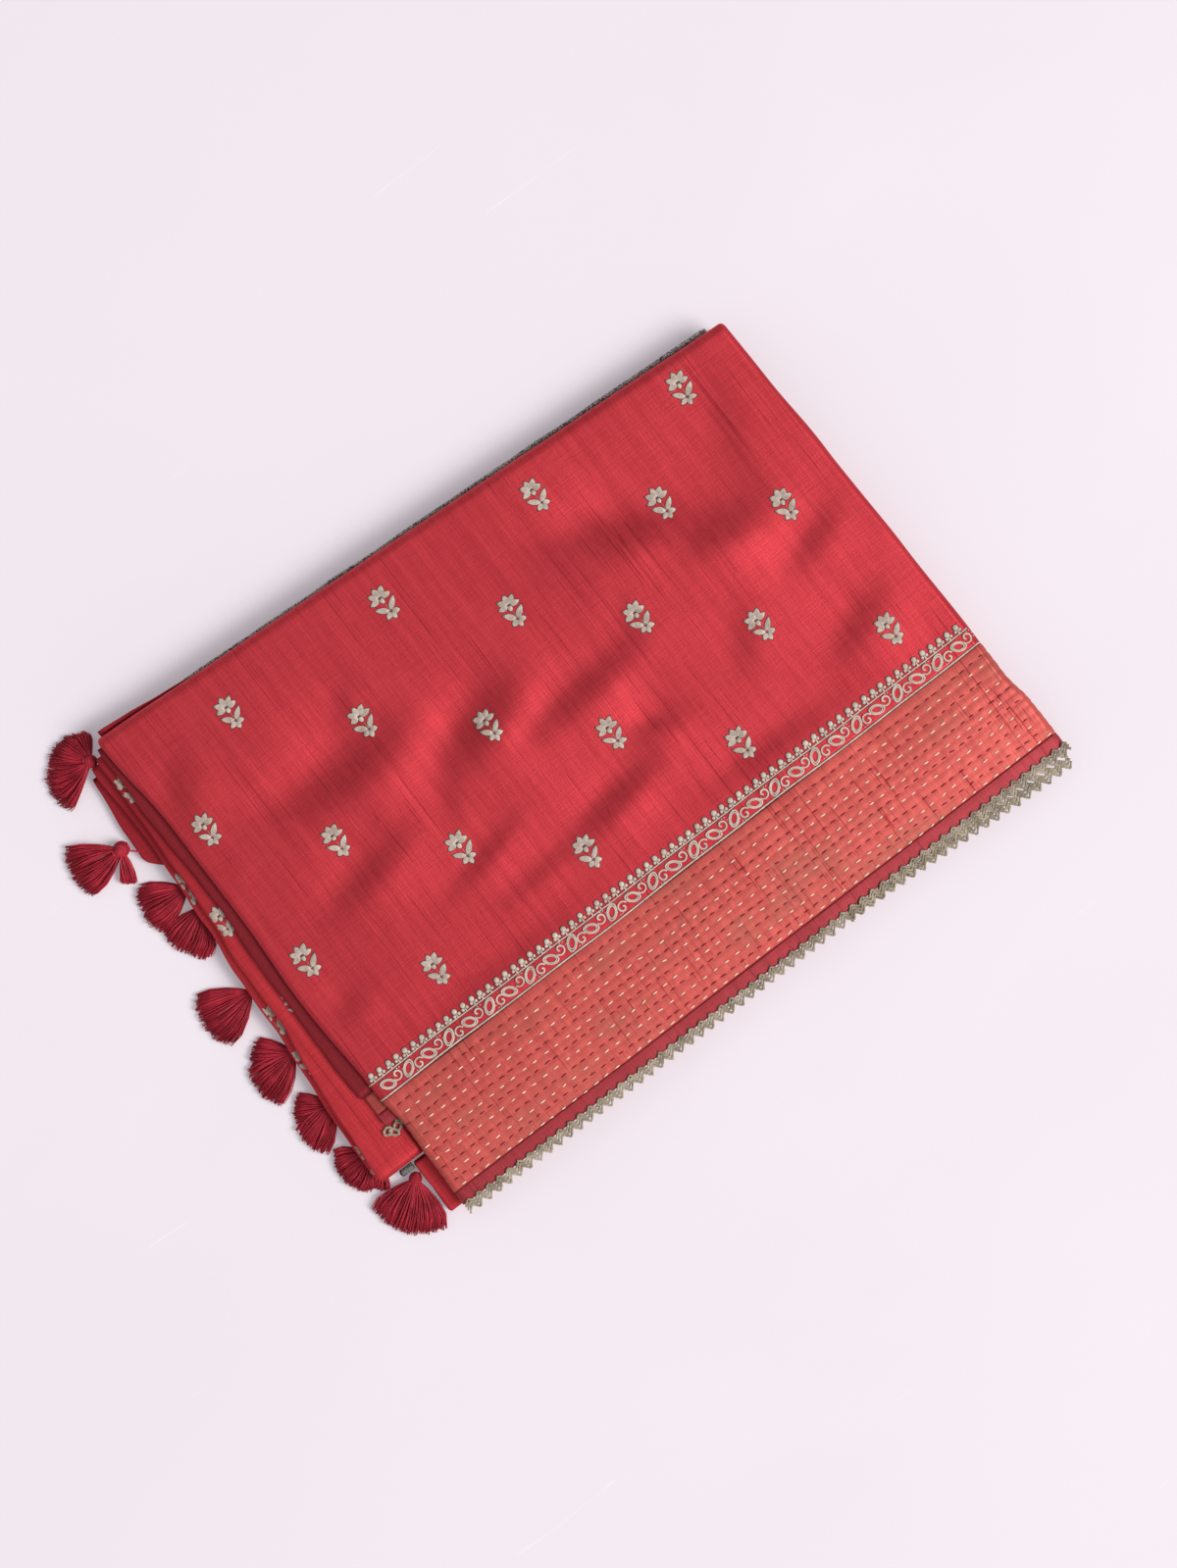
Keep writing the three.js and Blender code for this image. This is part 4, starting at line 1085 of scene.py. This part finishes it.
# ---- Tassels ----
# Knot's middle and radius, then the fans of threads: heading and spread in degrees, length at either side and
# locks. A knot with no x is tucked under the second fold, against the first fold's edge.
TASSELS = [
    dict(x=-188.4, y=158.6, z=6.8, knot=3.4, fans=[(132, 148, 15, 28, 15)]),
    dict(x=-203, y=115, z=4.8, knot=4.2, fans=[(171, 60, 29, 29, 9), (244, 24, 18, 19, 4)]),
    dict(y=80, z=2.3, knot=2.2, fans=[(172, 62, 26, 27, 9)]),
    dict(y=68, z=2.3, knot=2.2, fans=[(207, 66, 25, 27, 10)]),
    dict(y=20, z=2.4, knot=2.4, fans=[(179, 62, 30, 31, 10)]),
    dict(y=-17, z=2.3, knot=2.2, fans=[(140, 38, 21, 23, 5), (190, 56, 26, 29, 8)]),
    dict(y=-48, z=2.3, knot=2.2, fans=[(151, 50, 18, 20.5, 6), (204, 46, 22.5, 27, 7)]),
    dict(y=-79, z=2.3, knot=2.2, fans=[(186, 96, 18, 19.5, 11)]),
    dict(y=-89, z=2.3, knot=2, fans=[(228, 50, 10, 11.5, 5)]),
    dict(x=-186.8, y=-102.8, z=4.2, knot=3.3, fans=[(222, 86, 27, 29.5, 13)]),
]
CORD_TO = {2: (-196.6, 108.6, 4.75)}
THREADS_PER_LOCK = 26
BELL = 1.8  # how quickly a fan swells out of its knot
YARN_RADIUS = 0.24
STRAND = 3  # threads that lie together
BED_RADIUS = 0.5  # the threads in the middle of a fan, which fill it
FAN_LIFT = 1.5  # half the thickness of a fan at its belly
TIP_LEVEL = 0.55
TIP_THICK = 2.9


def seated_x(y, knot):
    return edge_at(FOLDS[0], y) - SEAT - knot


def fan_threads(heart, knot, heading, spread, long, long_to, locks):
    """Paths of the threads of one fan: they swell out of the knot like a bell and are cut blunt."""
    count = locks * THREADS_PER_LOCK
    lock = np.repeat(np.arange(locks), THREADS_PER_LOCK)
    lock_reach = np.linspace(long, long_to, locks) * rng.uniform(0.95, 1.0, locks)
    lock_curl = rng.normal(0.02, 0.02, locks)
    strand = np.arange(count) // STRAND
    place = (np.arange(count) % THREADS_PER_LOCK + rng.uniform(0, 1, count)) / THREADS_PER_LOCK
    across = 0.82 * (2 * place - 1) + 0.1 * rng.normal(0, 1, count).clip(-1.5, 1.5)
    level = rng.uniform(-1, 1, count) * np.sqrt(1 - 0.8 * across.clip(-1, 1) ** 2)
    fan = np.radians(spread * ((lock + 0.5 + across) / locks - 0.5))
    reach = lock_reach[lock] * rng.uniform(0.93, 1.02, strand[-1] + 1)[strand]
    reach = reach * rng.uniform(0.97, 1.0, count)
    curl = lock_curl[lock] + rng.normal(0, 0.012, count)
    t = np.array([0.0, 0.09, 0.22, 0.42, 0.7, 1.0])
    bow = np.sin(math.pi * t)
    ahead = (reach * np.cos(fan))[:, None] * t
    aside = (reach * np.sin(fan))[:, None] * (1 - (1 - t) ** BELL) + (reach * curl)[:, None] * bow
    xy = heart[:2] + np.stack([ahead, aside], -1) @ rotation(math.radians(heading)).T
    tip = TIP_LEVEL + (level + 1) / 2 * TIP_THICK
    z = lerp(heart[2] + 0.45 * knot * level[:, None], tip[:, None], t) + FAN_LIFT * level[:, None] * bow
    z = np.maximum(z, YARN_RADIUS + 0.02)
    jitter = rng.normal(0, 0.12, xy.shape) * t[None, :, None]
    return np.concatenate([xy + jitter, z[..., None]], -1)


def build_tassel(number, spec):
    form = Form()
    knot = spec["knot"]
    x = spec.get("x") or seated_x(spec["y"], knot)
    heart = np.array([x, spec["y"], spec["z"]])
    for fan in spec["fans"]:
        paths = fan_threads(heart, knot, *fan)
        thick = YARN_RADIUS * rng.uniform(0.85, 1.15, len(paths))[:, None]
        tubes(form, paths, thick * np.array([1, 1, 1, 1.05, 1.1, 1]))
        bed = paths[::2].copy()
        bed[..., :2] = lerp(heart[:2], bed[..., :2], 0.94)
        bed[..., 2] = np.maximum(0.8 * bed[..., 2], BED_RADIUS + 0.02)
        tubes(form, bed, BED_RADIUS)
    heading = math.radians(spec["fans"][0][0])
    axis = np.array([math.cos(heading), math.sin(heading), 0])
    turns = np.linspace(-0.88, 0.8, 9)
    ring_stack(form, heart, axis, knot * turns, knot * np.sqrt(1 - turns**2) - 0.25, 0.42)
    ring_stack(form, heart, axis, knot * 0.92 + np.array([0, 0.55]), knot * np.array([0.5, 0.48]), 0.34)
    end = np.array(CORD_TO.get(number, heart - axis * np.array([1, 0.3, 0]) * (knot + 1.6)))
    t = np.linspace(0, 1, 7)[:, None]
    cord = lerp(heart, end, t) + np.array([0, 0, 0.5]) * np.sin(math.pi * t)
    tubes(form, cord[None], 0.5, sides=6)
    node = f"tassel_{number:02d}"
    form.piece(node + "_yarn", YARN, "tassel", node)


body = build_body()
kantha = build_kantha()
hem = build_hem()
cream_stitches, maroon_stitches = build_stitches()
upper_crochet, lower_crochet = build_lace()
build_inner_layers()

forms = {key: Form() for key in ("beige", "brown", "pink", "band")}
for x, y in BUTI_PLACES:
    place_buti(forms, x, y, body_surface)
build_vine(forms)
build_buds(forms)

# Flowers on the folds at the left, each cut off where the next fold covers it: fold's number, x and y.
FOLD_BUTIS = [(3, -184, 56), (3, -181, 136), (2, -189.5, 80), (2, -195, 2), (2, -193, -23), (3, -179, 2),
              (2, -200.5, -80)]


def fold_surface(number):
    fold = FOLDS[number - 1]
    radius = (fold["high"] - fold["low"]) / fold["layers"] / 2

    def surface(x, y):
        inside = np.clip((edge_at(fold, y) + 0.9 + radius - x) / radius, 0, 1)
        return fold["high"] + 0.02 - radius * (1 - np.sqrt(1 - inside**2))

    def limits(y):
        return edge_at(fold, y) + 0.5, edge_at(FOLDS[number], y) + 1.6

    return surface, limits


for number, x, y in FOLD_BUTIS:
    place_buti(forms, x, y, *fold_surface(number))

flowers = forms["beige"].piece("flower_embroidery", BEIGE, "thread")
# Dark outlines of painted shade round the embroidery.
outlines = forms["brown"].piece("embroidery_painted_shade", OUTLINE_SHADE, "thread")
stems = forms["pink"].piece("flower_stems", PINK, "thread")
band = forms["band"].piece("band_embroidery", BEIGE, "thread", "vine_band")

TOP_FOLD = FOLDS[-1]
# The top fold takes the darker red silk of painted shade.
fold_pieces = [
    build_fold(fold["name"], fold, fold["front"], fold["back"], RED_PAINTED_SHADE if fold is TOP_FOLD else RED_FOLD_PAINTED_LIGHT,
               "red_silk", round_front=fold is not TOP_FOLD)
    for fold in FOLDS
]
# The next layer's border end takes the darker coral silk of painted shade.
second_kantha = build_fold("second_kantha", TOP_FOLD, SECOND_KANTHA_Y, TOP_FOLD["front"] - SEAM, CORAL_PAINTED_SHADE,
                           "coral_silk", round_front=False, round_back=False, inset=2.0)
second_hem = build_fold("second_hem", TOP_FOLD, SECOND_HEM_Y, SECOND_KANTHA_Y - SEAM, HEM, "hem_silk",
                        round_back=False, inset=1.4)
second_crochet = build_second_lace()
flap = short_fold("low_flap", LOW_FLAP, RED_FOLD_PAINTED_LIGHT, "red_silk")
corner = short_fold("print_corner", PRINT_CORNER, PRINT_PAINTED_SHADE, "print")
back_pieces = [build_back_fold(fold) for fold in BACK_FOLDS]
for number, spec in enumerate(TASSELS, 1):
    build_tassel(number, spec)

# ---- Floor, light and camera ----
CAMERA_TURN = math.radians(37.5)  # the border runs this far up from the picture's lower edge
VIEW_HEIGHT = 767.5 * MM  # the picture's height, measured at the cloth
LENS = 85
SENSOR = 36

origin = SHIFT * MM
floor_mesh = bpy.data.meshes.new("floor")
floor_mesh.from_pydata([(-3, -3, 0), (3, -3, 0), (3, 3, 0), (-3, 3, 0)], [], [(0, 1, 2, 3)])
floor_mesh.materials.append(FLOOR)
floor = placed("floor", floor_mesh)

camera_data = bpy.data.cameras.new("camera")
camera_data.lens = LENS
camera_data.sensor_width = SENSOR
camera = placed("camera", camera_data)
camera.location = (origin[0], origin[1], STACK_HEIGHT * MM + VIEW_HEIGHT * LENS / SENSOR)
camera.rotation_euler = (0, 0, -CAMERA_TURN)
bpy.context.scene.camera = camera


def area_light(name, bearing, elevation, distance, size, watts, colour):
    """A soft light aimed at the cloth. Its bearing is measured up from the picture's right, in degrees."""
    data = bpy.data.lights.new(name, "AREA")
    data.size = size
    data.energy = watts
    data.color = colour
    light = placed(name, data)
    angle = math.radians(bearing) - CAMERA_TURN
    level = math.radians(elevation)
    out = distance * math.cos(level)
    light.location = (
        origin[0] + out * math.cos(angle), origin[1] + out * math.sin(angle), distance * math.sin(level),
    )
    light.rotation_euler = (math.pi / 2 - level, 0, angle + math.pi / 2)


area_light("window_light", -10, 48, 10.0, 5.0, 1080, (1.0, 0.985, 0.975))
world = bpy.data.worlds.new("room")
world.use_nodes = True
world.node_tree.nodes["Background"].inputs["Color"].default_value = (0.93, 0.93, 1.0, 1)
world.node_tree.nodes["Background"].inputs["Strength"].default_value = 0.52
bpy.context.scene.world = world
bpy.context.scene.view_settings.view_transform = "Standard"
